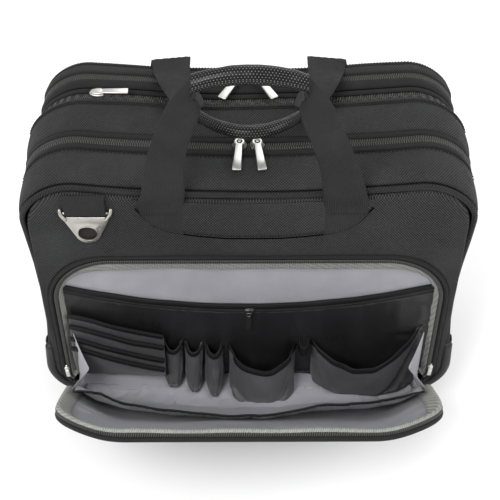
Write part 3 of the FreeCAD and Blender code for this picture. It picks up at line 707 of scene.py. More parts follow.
@functools.cache
def rubber():
    """Tyre rubber with fine rings and scuffed grey patches."""
    make = Finish("rubber")
    x, _, _ = make.space()
    scuff = make.noise(10.0, 6.0, 0.7)
    ring = make.wave(x, 1.6)
    colour = make.mix(make.spread(scuff, 0.45, 0.75), (0.014, 0.014, 0.014), (0.06, 0.058, 0.055))
    return make.done(colour, make.spread(scuff, 0, 1, 0.6, 0.9), ring, 0.05, scuff, 0.12)


def metal(name, dark, light, roughness, direction=None, grain=0.35):
    """Metal with light cloudy tone and, where it has a direction, brushed lines along it."""
    make = Finish(name)
    cloudy = make.noise(8.0, 4.0)
    inputs = {"Vector": make.places.outputs["Object"]}
    stretch = {None: (900, 900, 900), "x": (60, 2600, 2600), "y": (2600, 60, 2600), "z": (2600, 2600, 60)}
    inputs["Scale"] = stretch[direction]
    scaled = make.node("Mapping", inputs).outputs["Vector"]
    lines = make.node("TexNoise", {"Vector": scaled, "Scale": 1.0, "Detail": 3.0}).outputs["Fac"]
    colour = make.mix(cloudy, dark, light)
    rough = make.spread(lines, 0.3, 0.7, roughness - 0.07, roughness + 0.09)
    return make.done(colour, rough, lines, 0.02 * grain, Metallic=1.0)


@functools.cache
def nickel():
    return metal("satin_nickel", (0.34, 0.33, 0.30), (0.46, 0.45, 0.41), 0.3, "x")


@functools.cache
def bright_nickel():
    return metal("bright_nickel", (0.50, 0.495, 0.47), (0.66, 0.655, 0.63), 0.36, "y")


@functools.cache
def dark_metal():
    return metal("dark_metal", (0.10, 0.10, 0.10), (0.18, 0.18, 0.178), 0.3, None)


@functools.cache
def steel():
    return metal("steel", (0.42, 0.42, 0.43), (0.58, 0.58, 0.59), 0.3, "x")


@functools.cache
def tube_metal():
    return metal("tube_metal", (0.33, 0.33, 0.345), (0.44, 0.44, 0.455), 0.3, "z", 1.0)


@functools.cache
def thread():
    make = Finish("thread")
    strand = make.noise(0.5, 2.0)
    shade = make.mix(strand, (0.004, 0.004, 0.0045), (0.016, 0.016, 0.0165))
    return make.done(shade, make.spread(strand, 0, 1, 0.5, 0.7), strand, 0.1, Specular_IOR_Level=0.2)


@functools.cache
def board():
    """Stiffening board covered in lining cloth, for the parts inside."""
    return satin("inner_board", (0.05, 0.05, 0.055), (0.09, 0.09, 0.1), 0.6)


# Soft body ----------------------------------------------------------------------------------------


def profile(y0, y1, crown, tuck, count=14):
    """Depths and heights across a band whose edges tuck into the seams on both sides."""
    share = np.linspace(0, 1, count)
    y = y0 + 0.9 + (y1 - y0 - 1.8) * share
    out = crown * np.sin(math.pi * share) ** 0.6
    y = np.r_[y0 + 0.2, y0 + 0.35, y, y1 - 0.35, y1 - 0.2]
    out = np.r_[-tuck, -tuck * 0.35, out, -tuck * 0.35, -tuck]
    return y, out


HOUSING_LOW, HOUSING_HIGH = span("wheel_housings")


def bay_mask(points):
    """Quads of a grid that reach into the room that the wheel housings need."""
    low, high = HOUSING_LOW, HOUSING_HIGH
    inner = high[0] - 36.0
    side = np.abs(points[..., 0])
    hit = (side > inner - 0.5) & (side < high[0] + 0.5) & (points[..., 1] > low[1] - 0.5)
    hit &= (points[..., 2] < high[2] + 0.5) & (points[..., 2] < 60)
    quads = hit[:-1, :-1] | hit[1:, :-1] | hit[:-1, 1:] | hit[1:, 1:]
    closing = (hit | np.roll(hit, -1, axis=0))[-1:, :-1] | (hit | np.roll(hit, -1, axis=0))[-1:, 1:]
    return np.concatenate([quads, closing])


def band(name, y0, y1, material, slot, *replaced, crown=1.2, tuck=2.4, start=None, end=None,
         step=3.0, count=14):
    """A strip of the body round its sides: the whole way round, or from start to end."""
    y, out = profile(y0, y1, crown, tuck, count)
    s = BODY.even(step, start or 0.0, end)
    points = skin(s[:, None], y[None, :], out[None, :])
    ring = end is None
    drop = bay_mask(points) if y1 > HOUSING_LOW[1] else None
    made = sheet(name, points, material, ring=ring, drop=drop)
    thicken(made, 1.6)
    return place(made, "case", slot, *replaced)


def teeth_along(phase):
    """Height of zip teeth from 0 to 1: round crowns with narrow gaps between them."""
    return (0.5 + 0.5 * np.cos(phase)) ** 0.8


def coil(name, y, width, start=None, end=None, high=1.7, pitch=COIL_PITCH, level=-1.3):
    """A closed zip coil: two rows of slanted teeth that meet along the middle."""
    s = BODY.even(pitch / 5, start or 0.0, end)
    across = np.linspace(-1, 1, 11)
    row = np.where(across < 0, -math.pi / 2, math.pi / 2)
    phase = 2 * math.pi * s[:, None] / pitch + row + COIL_LEAN * np.abs(across) * width / 2
    tooth = teeth_along(phase)
    shoulder = np.sqrt(np.clip(1 - across**6, 0, 1)) * (1 - 0.55 * np.exp(-((across / 0.16) ** 2)))
    out = level + high * shoulder * (0.12 + 0.88 * tooth) - 0.8 * (np.abs(across) > 0.99)
    points = skin(s[:, None], y + across[None, :] * width / 2, out)
    drop = bay_mask(points) if y > HOUSING_LOW[1] else None
    flat = join(s[:, None], across[None, :] * width / 2)
    made = sheet(name, points, coil_plastic(), ring=end is None, drop=drop, flat=flat)
    return place(made, "case", "zip_tape")


# The part of a cord's radius that is hidden in its seam.
PIPING_SINK = 1.3
HOUSING_INNER_X = 118


def piping_path(y):
    """The middle line of the cord round an edge of the body, and the way out from it."""
    s = BODY.even(0.7)
    path = skin(s, np.full(s.shape, y), np.full(s.shape, -PIPING_R + 0.6))
    _, _, nx, nz = BODY.at(s)
    return path, join(nx, 0.0, nz)


def build_piping():
    """Ribbed cords sewn round the two edges. The rear one stops at the wheel housings."""
    radius = PIPING_R - PIPING_SINK
    path, up = piping_path(FRONT + PIPING_R)
    made = cord("front_piping", path, up, radius, piping_cloth(), closed=True, rib=0.15, pitch=2.7, lean=1.0)
    place(made, "case", "piping", "edge_piping")
    path, up = piping_path(BACK - PIPING_R)
    out = np.abs(path[:, 0])
    beside = (out > HOUSING_INNER_X) & (out < HOUSING_HIGH[0] + 5) & (path[:, 2] < HOUSING_HIGH[2] + 4)
    free = np.flatnonzero(~beside)
    runs = np.split(free, np.flatnonzero(np.diff(free) > 1) + 1)
    if len(runs) > 2:
        runs = [np.r_[runs[-1], runs[0]]] + runs[1:-1]
    for index, run in enumerate(runs):
        part = cord(f"rear_piping_{index}", path[run], up[run], radius, piping_cloth(), rib=0.34, pitch=2.9)
        place(part, "case", "piping")


def seam_stitches(name, y, out, start=None, end=None):
    s = BODY.even(1.5, start or 0.0, end)
    path = skin(s, np.full(s.shape, y), np.full(s.shape, out))
    _, _, nx, nz = BODY.at(s)
    made = stitch_row(name, path, join(nx, 0.0, nz), thread())
    return place(made, "case", "nylon")


def build_body_bands():
    top = dict(start=ZIP_START, end=BODY.length - ZIP_START)
    bottom = dict(start=BODY.length - ZIP_START + 1, end=BODY.length + ZIP_START - 1)
    band("front_gusset_cloth", FRONT + PIPING_W, FRONT_ZIP_Y - 0.5, nylon(), "nylon", "front_gusset",
         crown=1.6)
    band("middle_gusset_cloth", MIDDLE_Y - 1.5, EXPANSION_Y - 2, nylon(), "nylon", "middle_gusset", crown=1.4)
    band("rear_gusset_cloth", REAR_Y, BACK - PIPING_W + 0.5, nylon(), "nylon", "rear_gusset",
         crown=0.8, count=8)
    # Front zip: plain tape, coil and plain tape, with plain cloth round the bottom past its ends.
    band("front_zip_fold", FRONT_ZIP_Y - 0.3, FRONT_COIL_Y - 4.4, tape_cloth(), "zip_tape", "front_zip_tape",
         crown=0.5, tuck=1.8, count=8, **top)
    band("front_zip_welt", FRONT_COIL_Y + 3.6, MIDDLE_Y - 1.7, tape_cloth(), "zip_tape", crown=0.7, tuck=2.0,
         count=8, **top)
    coil("front_zip_coil", FRONT_COIL_Y - 0.4, 8.2, **top)
    band("front_zip_hinge", FRONT_ZIP_Y - 0.3, MIDDLE_Y - 1.7, nylon(), "nylon", crown=0.4, **bottom)
    # Expansion zip: a rolled welt in front, a coarse coil and a plain edge behind.
    welt = EXPANSION_Y - 2
    band("expansion_welt", welt, welt + 8.0, piping_cloth(), "zip_tape", "expansion_zip_tape",
         crown=1.9, tuck=2.2, count=9)
    coil("expansion_coil", EXPANSION_COIL_Y + 0.6, 10.4, high=2.1, pitch=2.7)
    band("expansion_edge", EXPANSION_COIL_Y + 6.4, REAR_ZIP_Y + 1.2, tape_cloth(), "zip_tape", crown=0.4,
         tuck=1.8, count=6)
    # Rear zip: a broad plain welt, then a fine coil against the rear seam.
    band("rear_zip_welt", REAR_ZIP_Y + 2.6, REAR_COIL_Y - 3.9, tape_cloth(), "zip_tape", "rear_zip_tape",
         crown=1.2, tuck=2.2, count=9, **top)
    coil("rear_zip_coil", REAR_COIL_Y + 0.2, 6.8, high=1.6, **top)
    band("rear_zip_edge", REAR_COIL_Y + 3.6, REAR_Y, tape_cloth(), "zip_tape",
         crown=0.2, tuck=1.4, count=5, **top)
    band("rear_zip_hinge", REAR_ZIP_Y + 2.6, REAR_Y, nylon(), "nylon", crown=0.4, **bottom)
    build_piping()
    seam_stitches("welt_stitches", EXPANSION_Y - 0.3, 1.3)
    seam_stitches("front_tape_stitches", FRONT_ZIP_Y + 0.9, 0.35, **top)
    seam_stitches("gusset_stitches_front", FRONT_ZIP_Y - 3.2, 1.0, **top)
    under_tape()


def under_tape():
    """Dark backing under the bands, so that nothing shows through their seams."""
    s = BODY.even(6.0)
    y = np.linspace(FRONT + 5, BACK - 5, 40)
    points = skin(s[:, None], y[None, :], np.full((1, 40), -3.4))
    made = sheet("seam_backing", points, tape_cloth(), ring=True, drop=bay_mask(points))
    thicken(made, 0.8)
    place(made, "case", "nylon")


# Front face ---------------------------------------------------------------------------------------


def panel_grid(outer, inner, rows):
    """X and Z of a ring-shaped region between two matched outlines, closer near its edges."""
    share = 0.5 - 0.5 * np.cos(math.pi * np.linspace(0, 1, rows))
    x = outer[0][:, None] * (1 - share) + inner[0][:, None] * share
    z = outer[1][:, None] * (1 - share) + inner[1][:, None] * share
    gap = np.hypot(outer[0] - inner[0], outer[1] - inner[1])[:, None]
    return x, z, gap * share, gap * (1 - share)


def inset_points(outline, counts, inset):
    x, z, nx, nz = outline.at(outline.matched(counts))
    return x - nx * inset, z - nz * inset


def build_front_panel():
    counts = (30, 16, 40, 18, 60)
    outer = inset_points(BODY, counts, PIPING_W - 0.8)
    inner = inset_points(MOUTH, counts, -6.6)
    x, z, from_edge, from_mouth = panel_grid(outer, inner, 30)
    out = -3.4 * np.exp(-from_edge / 1.2) - 2.6 * np.exp(-from_mouth / 1.1)
    made = sheet("front_panel_cloth", panel_point(x, z, out), nylon(), ring=True, flat=join(x, z))
    thicken(made, 1.2)
    place(made, "case", "nylon", "front_panel")


YOKE_MIDDLE = 5.0
YOKE_HALF = 106.0
YOKE_OUT = (0.0, 25.0, 46.0, 60.0, 70.0, 78.0, 85.0, 91.0, 96.0, 100.0, 103.5, 107.0)
YOKE_LOW = (264.0, 264.3, 266.6, 268.8, 271.2, 274.0, 277.8, 283.0, 289.0, 296.0, 302.0, 308.0)


def yoke_low(x):
    """Height of the yoke's rounded lower edge."""
    return np.interp(np.abs(x - YOKE_MIDDLE), YOKE_OUT, YOKE_LOW)


def top_edge(x):
    """Height of the seam under the front cord."""
    _, z, _, nz = BODY.at(BODY.even(1.0, BODY.stops[4], BODY.stops[6]))
    xs = BODY.at(BODY.even(1.0, BODY.stops[4], BODY.stops[6]))[0]
    return np.interp(x, xs[::-1], (z - nz * PIPING_W)[::-1])


def build_yoke():
    x = YOKE_MIDDLE + np.linspace(-YOKE_HALF, YOKE_HALF, 150)[:, None]
    share = np.linspace(0, 1, 26)[None, :]
    low, high = yoke_low(x), top_edge(x)
    z = low + (high - low) * share
    edge = z - low
    side = YOKE_HALF - np.abs(x - YOKE_MIDDLE)
    out = 1.9 - 2.2 * np.exp(-edge / 0.9) - 1.4 * np.exp(-side / 0.8)
    out = out - 0.5 * np.exp(-(((edge - 3.6) / 1.1) ** 2))
    made = sheet("yoke_patch", panel_point(x, z, out), nylon(), flat=join(x, z), flip=True)
    thicken(made, 1.0)
    place(made, "case", "nylon", "handle_yoke")
    # A dark cord along the yoke's lower edge: painted shadow for the groove of its seam.
    xs = YOKE_MIDDLE + np.linspace(-YOKE_HALF + 1, YOKE_HALF - 1, 400)
    seam = panel_point(xs, yoke_low(xs) - 0.5, 0.9)
    place(capped("yoke_seam_shadow", seam, Y_FRONT, 0.9, seam_shade(), sides=8), "case", "nylon")
    path = panel_point(xs, yoke_low(xs) + 3.2, 1.9)
    place(stitch_row("yoke_stitches_0", path, Y_FRONT, thread()), "case", "nylon")


def front_plane(x, z, out):
    """Points on the plane of the pocket's mouth, or out millimetres in front of it."""
    return join(x, FRONT + 2.0 - out, z)


def rim_path(outline, place_on, s, offset, height):
    """Points beside an outline: offset is outwards from it and height away from its plane."""
    x, z, nx, nz = outline.at(s)
    return place_on(x + nx * offset, z + nz * offset, height)


def rim_strip(name, outline, place_on, s, section, material, flip=False):
    """A strip along an outline whose cross-section is a list of (offset, height)."""
    offsets, heights = np.array(section, float).T
    points = rim_path(outline, place_on, s[:, None], offsets[None, :], heights[None, :])
    return sheet(name, points, material, flip=flip)


def round_section(offset, height, radius, count=13, start=0.0, sweep=360.0):
    turns = np.radians(start + np.linspace(0, sweep, count))
    return [(offset + radius * math.cos(a), height + radius * math.sin(a)) for a in turns]


def rim_coil(name, outline, place_on, s, offset, width, height, outward=False):
    """One row of zip teeth along an outline, slanted and rounded. They face up, or outward from it."""
    across = np.linspace(-1, 1, 8)[None, :]
    tooth = teeth_along(2 * math.pi * s[:, None] / SMALL_PITCH + 1.5 * across)
    crown = 1.5 * np.sqrt(np.clip(1 - across**4, 0, 1)) * (0.25 + 0.75 * tooth) - 0.9
    if outward:
        points = rim_path(outline, place_on, s[:, None], offset + crown, height + across * width / 2)
    else:
        points = rim_path(outline, place_on, s[:, None], offset + across * width / 2, height + crown)
    flat = join(s[:, None], across * width / 2)
    return sheet(name, points, coil_plastic(SMALL_PITCH, SMALL_LEAN, 1), flip=outward, flat=flat)


def build_mouth_rim():
    start = MOUTH.level(MOUTH_LOW + 3)
    s = MOUTH.even(2.0, start, MOUTH.length - start)
    roll = rim_strip("mouth_roll", MOUTH, front_plane, s, round_section(3.4, 0.6, 2.9), tape_cloth())
    place(roll, "case", "nylon", "pocket_rim")
    fine = MOUTH.even(0.45, start, MOUTH.length - start)
    teeth = rim_coil("mouth_coil", MOUTH, front_plane, fine, -1.7, 4.4, 3.4)
    place(teeth, "case", "zip_tape")
    waves = MOUTH.even(0.5, start, MOUTH.length - start)
    across = np.linspace(0, 1, 9)[None, :]
    rib = 0.32 * np.cos(2 * math.pi * waves[:, None] / 2.6 + 1.2 * across)
    swing = 0.8 * ripple(waves[:, None], across * 10, 60.0, 21)
    # Along the upright sides the tape turns in towards the pocket instead of lying flat.
    upright = np.abs(MOUTH.at(waves)[2])[:, None] ** 2
    offset = -3.6 - (12.0 - 8.0 * upright) * across
    height = 1.6 - (3.2 + 3.4 * upright) * across + rib + swing * across
    tape = sheet("mouth_tape", rim_path(MOUTH, front_plane, waves[:, None], offset, height), pale_binding())
    thicken(tape, 0.7)
    place(tape, "case", "trim")
    under = [(6.5, -2.6), (0, -2.2), (-5.0, -1.6)]
    backing = rim_strip("mouth_backing", MOUTH, front_plane, s, under, tape_cloth())
    thicken(backing, 0.8)
    place(backing, "case", "zip_tape")


BUMPER_END_X = 132.0


def build_corner_bumpers():
    """Smooth tubes over the cord at the lower corners, and their guards under them."""
    high = BODY.level(span("corner_guards")[1][2])
    quarter = len(BODY.x) // 4
    low = float(np.interp(BUMPER_END_X, BODY.x[:quarter], BODY.s[:quarter]))
    s = BODY.even(1.5, low, high)
    for side, run in (("right", s), ("left", BODY.length - s)):
        path = skin(run, np.full(run.shape, FRONT + PIPING_R - 0.6), np.full(run.shape, -PIPING_R + 1.4))
        _, _, nx, nz = BODY.at(run)
        made = capped(f"corner_bumper_{side}", path, join(nx, 0.0, nz), PIPING_R + 1.1, moulded(), sides=18)
        place(made, "case", "moulded", *(("corner_guards",) if side == "right" else ()))
        across = np.linspace(0, 1, 12)[None, :]
        bow = np.sqrt(np.clip(np.sin(math.pi * np.linspace(0.04, 0.96, len(run))), 0, 1))[:, None]
        y = FRONT + PIPING_R + 3 + 20.0 * across * bow
        points = skin(run[:, None], y, 2.3 - 1.9 * across**6)
        guard = sheet(f"corner_guard_{side}", points, moulded(), flip=side == "left")
        thicken(guard, 1.6)
        bevel(guard, 0.4)
        place(guard, "case", "moulded")


def build_rear_panel():
    """Padded back face behind the trolley, with its wheel bays left open."""
    counts = (40, 16, 40, 18, 50)
    s = BODY.matched(counts)
    edge = skin(s, np.full(s.shape, BACK - 4.0), np.full(s.shape, -PIPING_W + 0.8))
    share = np.sin(np.linspace(0, 1, 34) * math.pi / 2)[None, :]
    x = edge[:, 0][:, None] * (1 - share)
    z = (LOW + TOP) / 2 + (edge[:, 2][:, None] - (LOW + TOP) / 2) * (1 - share)
    gap = np.hypot(edge[:, 0], edge[:, 2] - (LOW + TOP) / 2)[:, None] * share
    y = BACK - 2.0 - 3.0 * np.exp(-gap / 1.2) + 0.9 * smooth(0, 30, gap) + 0.3 * ripple(x, z, 70.0, 5)
    y = np.minimum(y, BACK + 0.1)
    points = join(x, y, z)
    bays = bay_mask(points)
    made = sheet("rear_panel_cloth", points, nylon(), ring=True, flat=join(x, z), drop=bays, flip=True)
    thicken(made, 1.2)
    place(made, "case", "nylon", "rear_panel")


# Carry handles ------------------------------------------------------------------------------------

WEBBING_T = 2.4
PIVOT = {side: joint_at(f"{side}_handle_hinge") for side in ("front", "rear")}
LEAN = {"front": -4.0, "rear": 79.0}
GRIP_HALF = 47.0
GRIP_R = 8.6
ARCH = {"front": 9.0, "rear": 29.0}
SWAY = 1.2
FOOT_SHIFT = {"front": 4.6, "rear": 0.8}
FOOT_SPREAD = {"front": 0.0, "rear": -4.0}
SPREAD = 2.4
GRIP_AT = {"front": 115.0, "rear": 110.0}
GRIP_THIN = {"front": 1.0, "rear": 0.78}
# The reach of the grip, and the depth of the sewn end, that the tables below were drawn for.
DRAWN_GRIP = 111.0
DRAWN_FOOT = 60.0

# Half a strap in the plane of its handle, as (distance from the pivot line, distance from the middle).
OUTER_EDGE = [(-60, 98.5), (-26, 98.0), (0, 94.8), (25, 89.5), (50, 83.2), (75, 74.5), (93, 66.5),
              (106, 57.5), (117, 49.5), (121, 46.5)]
INNER_EDGE = [(-60, 60.0), (-26, 59.5), (0, 57.2), (25, 55.6), (50, 51.0), (75, 43.4), (90, 40.2), (97, 41.6),
              (102, 44.6), (104, 46.0)]


def curve(knots, shares):
    """A smooth curve through (distance, value) knots, sampled at shares of its length."""
    knots = np.array(knots, float)
    way = np.r_[0, np.cumsum(np.linalg.norm(np.diff(knots, axis=0), axis=1))]
    way /= way[-1]
    slope = np.gradient(knots, way, axis=0)
    index = np.clip(np.searchsorted(way, shares, "right") - 1, 0, len(way) - 2)
    step = (way[index + 1] - way[index])[:, None]
    t = ((shares - way[index]) / step[:, 0])[:, None]
    a, b = knots[index], knots[index + 1]
    c, d = slope[index] * step, slope[index + 1] * step
    ends = (2 * t**3 - 3 * t**2 + 1) * a + (3 * t**2 - 2 * t**3) * b
    return ends + (t**3 - 2 * t**2 + t) * c + (t**3 - t**2) * d


def handle_point(side, x, reach, lift):
    """Points near a handle: reach runs up from its pivot in its plane, and lift away from its outer side."""
    sign = -1.0 if side == "front" else 1.0
    lean = math.radians(LEAN[side])
    pivot = PIVOT[side]
    up = np.array([0.0, -math.sin(lean), math.cos(lean)])
    off = np.array([0.0, sign * math.cos(lean), sign * math.sin(lean)])
    free = up[1:] * np.maximum(reach, 0)[..., None]
    sewn = join(0.0, np.minimum(reach, 0))
    flat = off[1:] * lift[..., None]
    base = pivot[1:] + free + sewn + flat
    return join(x, base[..., 0], base[..., 1])


def strap(side, hand):
    """One end of a carry strap: sewn on below the edge cord, free above it, folded into its grip."""
    count = 120
    shares = np.linspace(0, 1, count)
    outer, inner = curve(OUTER_EDGE, shares), curve(INNER_EDGE, shares)
    across = np.linspace(0, 1, 17)[None, :]
    reach = outer[:, :1] * (1 - across) + inner[:, :1] * across
    wide = outer[:, 1:] * (1 - across) + inner[:, 1:] * across
    x = hand * (wide + SPREAD * smooth(80, 10, reach)) + SWAY * smooth(-30, 110, reach)
    x = x + (FOOT_SHIFT[side] + hand * FOOT_SPREAD[side]) * smooth(70, -10, reach)
    if side == "front":
        # The sewn end is cut off along the seam of the yoke.
        reach = np.where(reach < 0, reach * (PIVOT[side][2] - yoke_low(x)) / DRAWN_FOOT, reach)
    reach = reach + (GRIP_AT[side] - DRAWN_GRIP) * smooth(10, 105, reach)
    middle = 2 * across - 1
    bow = 2.2 * smooth(20, 80, reach) * (1 - middle**2)
    fold = 7.0 * smooth(84, 118, reach) * (across - 0.15)
    lift = 1.4 + bow + fold - 0.5 * smooth(0.86, 1.0, np.abs(middle))
    if side == "front":
        # The sewn end follows the front face, over the cord.
        face = panel_bulge(x, PIVOT[side][2] + reach) - 3.6
        lift = lift + np.where(reach < 0, (face + 0.9) * smooth(-4, -22, reach), 0)
    points = handle_point(side, x, reach, lift)
    if side == "rear":
        # The outer edge of the loose webbing dips where it crosses the back edge of the top.
        crest = np.exp(-(((reach - 16.0) / 20.0) ** 2))
        points[..., 2] -= 7.5 * (1 - across) * crest
    flip = (hand > 0) == (side == "front")
    name = f"{side}_strap_{hand_name(hand)}"
    made = sheet(name, points, webbing(), flip=flip)
    thicken(made, WEBBING_T)
    bevel(made, 0.7)
    return made


def foot_stitches(hand):
    """The stitched lines across the foot of a front strap."""
    xs = (np.linspace(61.5, 96.5, 60) + SPREAD) * hand + FOOT_SHIFT["front"]
    for number, level in enumerate((-29.5, -27.6)):
        path = panel_point(xs, PIVOT["front"][2] + level, 2.1)
        name = f"foot_stitches_{number}_{hand_name(hand)}"
        place(stitch_row(name, path, Y_FRONT, thread(), length=2.2, gap=0.7), "case", "webbing")


def grip_line(side, along):
    """Distance of a grip's middle line from its pivot: along runs from -1 to 1."""
    return GRIP_AT[side] + ARCH[side] * (1 - along**2) - (4.0 if side == "rear" else -2.0)


def grip(side):
    """Leather sleeve sewn round the webbing loop: arched along its length, oval, with cut ends."""
    along = np.linspace(-1, 1, 190)
    turn = np.linspace(0, 2 * math.pi, 73)[:-1]
    x = GRIP_HALF * along
    centre = grip_line(side, along)
    girth = GRIP_THIN[side] * GRIP_R * (1 - 0.09 * along**2 + 0.05 * smooth(0.93, 1.0, np.abs(along)))
    row = turn * GRIP_R / HOLE_ROW
    phase = 2 * math.pi * (x[:, None] / HOLE_GAP + 0.5 * np.mod(np.floor(row), 2)[None, :])
    spot = np.clip(np.cos(phase) * np.cos(2 * math.pi * (row - 0.5))[None, :], 0, 1) ** 2
    seam_side = np.cos(turn + math.pi / 2)[None, :]
    punched = smooth(0.93, 0.86, np.abs(along))[:, None] * smooth(0.9, 0.75, seam_side)
    radius = girth[:, None] - 0.22 * spot * punched + 0.25 * ripple(x[:, None], turn[None, :] * 9, 16.0, 8)
    lip = 1.6 * np.exp(-(((turn - 1.5 * math.pi) / 0.16) ** 2))[None, :]
    reach = centre[:, None] + (radius + lip) * np.sin(turn)[None, :]
    lift = 1.0 + (radius * 0.92) * np.cos(turn)[None, :]
    points = handle_point(side, x[:, None] + SWAY, reach, lift)
    made = sheet(f"{side}_grip_leather", points, leather(), tube=True, flip=side == "front")
    thicken(made, 1.1)
    place(made, f"{side}_handle", "grip_leather", f"{side}_grip")
    fold = np.linspace(-0.97, 0.97, 150)
    base = grip_line(side, fold) - GRIP_THIN[side] * GRIP_R * (1 - 0.09 * fold**2) + 0.8
    path = handle_point(side, GRIP_HALF * fold + SWAY, base, np.full(fold.shape, 2.6))
    outward = handle_point(side, np.zeros(1), np.zeros(1), np.ones(1))[0] - PIVOT[side]
    place(stitch_row(f"{side}_grip_stitches", path, outward, thread()), f"{side}_handle", "grip_leather")
    # Webbing core that fills the sleeve, seen at its two ends.
    core = np.linspace(-1.0, 1.0, 60)
    path = handle_point(side, GRIP_HALF * core + SWAY, grip_line(side, core), np.full(core.shape, 1.0))
    tube = capped(f"{side}_grip_core", path, Z_UP, GRIP_THIN[side] * GRIP_R - 1.6, webbing(), sides=16)
    place(tube, f"{side}_handle", "webbing")


def build_handles():
    for side in ("front", "rear"):
        for hand in (-1, 1):
            made = strap(side, hand)
            bend_between(made)
            if hand > 0:
                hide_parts(f"{side}_handle_webbing", *(("strap_bases",) if side == "front" else ()))
            if side == "front":
                foot_stitches(hand)
        grip(side)


# Shoulder strap rings -----------------------------------------------------------------------------


TAB_HALF = 18.2
TAB_ROLL_R = 2.9
RING_HALF = 20.6
RING_REACH = 38.0
RING_TIP_R = 11.2
RING_EYE_R = 8.3


def build_ring(side):
    """Webbing tab with a triangular ring: both are turned half round for the back of the case."""
    turn = 1.0 if side == "front" else -1.0
    pivot = joint_at(f"{side}_ring_hinge")
    middle = pivot[0] + 1.5 * turn

    def face(x, z, out):
        depth = -abs(pivot[1]) + 1.2 - out
        return join(middle + turn * x, turn * depth, z)

    top = float(top_edge(np.array([middle]))[0]) + 3.0 - (REAR_STEP if side == "rear" else 0.0)
    low = pivot[2]
    # The tab runs down from the cord, round the bar and back up behind itself.
    down = np.linspace(top, low, 26)
    turns = np.linspace(0, math.pi, 12)[1:]
    z = np.r_[down, low - TAB_ROLL_R * np.sin(turns), np.linspace(low, top - 4, 20)[1:]]
    out = np.r_[np.full(26, TAB_ROLL_R), TAB_ROLL_R * np.cos(turns), np.full(19, -1.2)]
    out = out - np.r_[2.0 * smooth(top - 6, top, down), np.zeros(30)]
    x = np.linspace(-TAB_HALF, TAB_HALF, 21)
    crown = 0.35 * np.sin(math.pi * np.linspace(0, 1, 21))
    points = face(x[None, :], z[:, None], out[:, None] + crown[None, :])
    tab = sheet(f"shoulder_tab_{side}", points, webbing(), flip=True)
    thicken(tab, 1.2)
    bevel(tab, 0.4)
    place(tab, "case", "webbing", *(("shoulder_tabs",) if side == "front" else ()))

    # The ring plate is a rounded triangle with a round eye: rings of points run from its rim to the eye.
    half = RING_HALF
    tip_z = low - RING_REACH + RING_TIP_R
    slope = math.atan2(low - 5.5 - tip_z, half - RING_TIP_R * 0.78)
    turn_out = slope - math.pi / 2
    arc = np.linspace(-math.pi - turn_out, turn_out, 34)
    tip = np.c_[RING_TIP_R * np.cos(arc), tip_z + RING_TIP_R * np.sin(arc)]
    corners = [[half, low - 7.0], [half - 1.0, low - 4.6], [-half + 1.0, low - 4.6], [-half, low - 7.0]]
    rim = np.r_[tip, corners, tip[:1]]
    way = np.r_[0, np.cumsum(np.linalg.norm(np.diff(rim, axis=0), axis=1))]
    even = np.linspace(0, way[-1], 96, endpoint=False)
    rim = np.c_[np.interp(even, way, rim[:, 0]), np.interp(even, way, rim[:, 1])]
    eye_z = tip_z + 1.6
    angle = np.arctan2(rim[:, 1] - eye_z, rim[:, 0])
    eye = np.c_[RING_EYE_R * np.cos(angle), eye_z + RING_EYE_R * np.sin(angle)]
    shares = np.array([0.0, 0.0, 0.03, 0.12, 0.5, 0.80, 0.88, 0.94, 0.985, 1.0, 1.0])
    lifts = np.array([-1.5, 0.9, 1.3, 1.5, 1.5, 1.55, 2.1, 2.35, 2.1, 1.4, -1.5])
    x = rim[:, :1] * (1 - shares) + eye[:, :1] * shares
    z = rim[:, 1:] * (1 - shares) + eye[:, 1:] * shares
    points = face(x, z, lifts[None, :])
    plate = sheet(f"{side}_ring_plate", points, nickel(), ring=True, tube=True, flip=True)
    bevel(plate, 0.25)
    place(plate, f"{side}_ring", "nickel", f"{side}_ring")
    for hand in (-1, 1):
        bend = np.linspace(0, 1, 22)
        x = hand * (half - 3.5 + 5.2 * np.sin(bend * math.pi * 0.55))
        z = low - 8.0 + 13.0 * bend
        out = 1.6 - 3.0 * smooth(0.55, 1.0, bend)
        path = face(x, z, out)
        name = f"{side}_ring_hook_{hand_name(hand)}"
        hook = capped(name, path, turn * Y_FRONT, 1.9, nickel(), sides=14)
        place(hook, f"{side}_ring", "nickel")
    xs = np.linspace(-half - 0.5, half + 0.5, 40)
    rod = capped(f"{side}_ring_bar", face(xs, low, 0.0), Z_UP, 1.6, nickel(), sides=14)
    place(rod, f"{side}_ring", "nickel")


def build_rings():
    for side in ("front", "rear"):
        build_ring(side)


# Cloth --------------------------------------------------------------------------------------------


def read_points(made):
    values = np.zeros(len(made.data.vertices) * 3, np.float32)
    made.data.vertices.foreach_get("co", values)
    return values.reshape(-1, 3) / MM


def write_points(made, points):
    made.data.vertices.foreach_set("co", (points * MM).astype(np.float32).ravel())
    made.data.update()


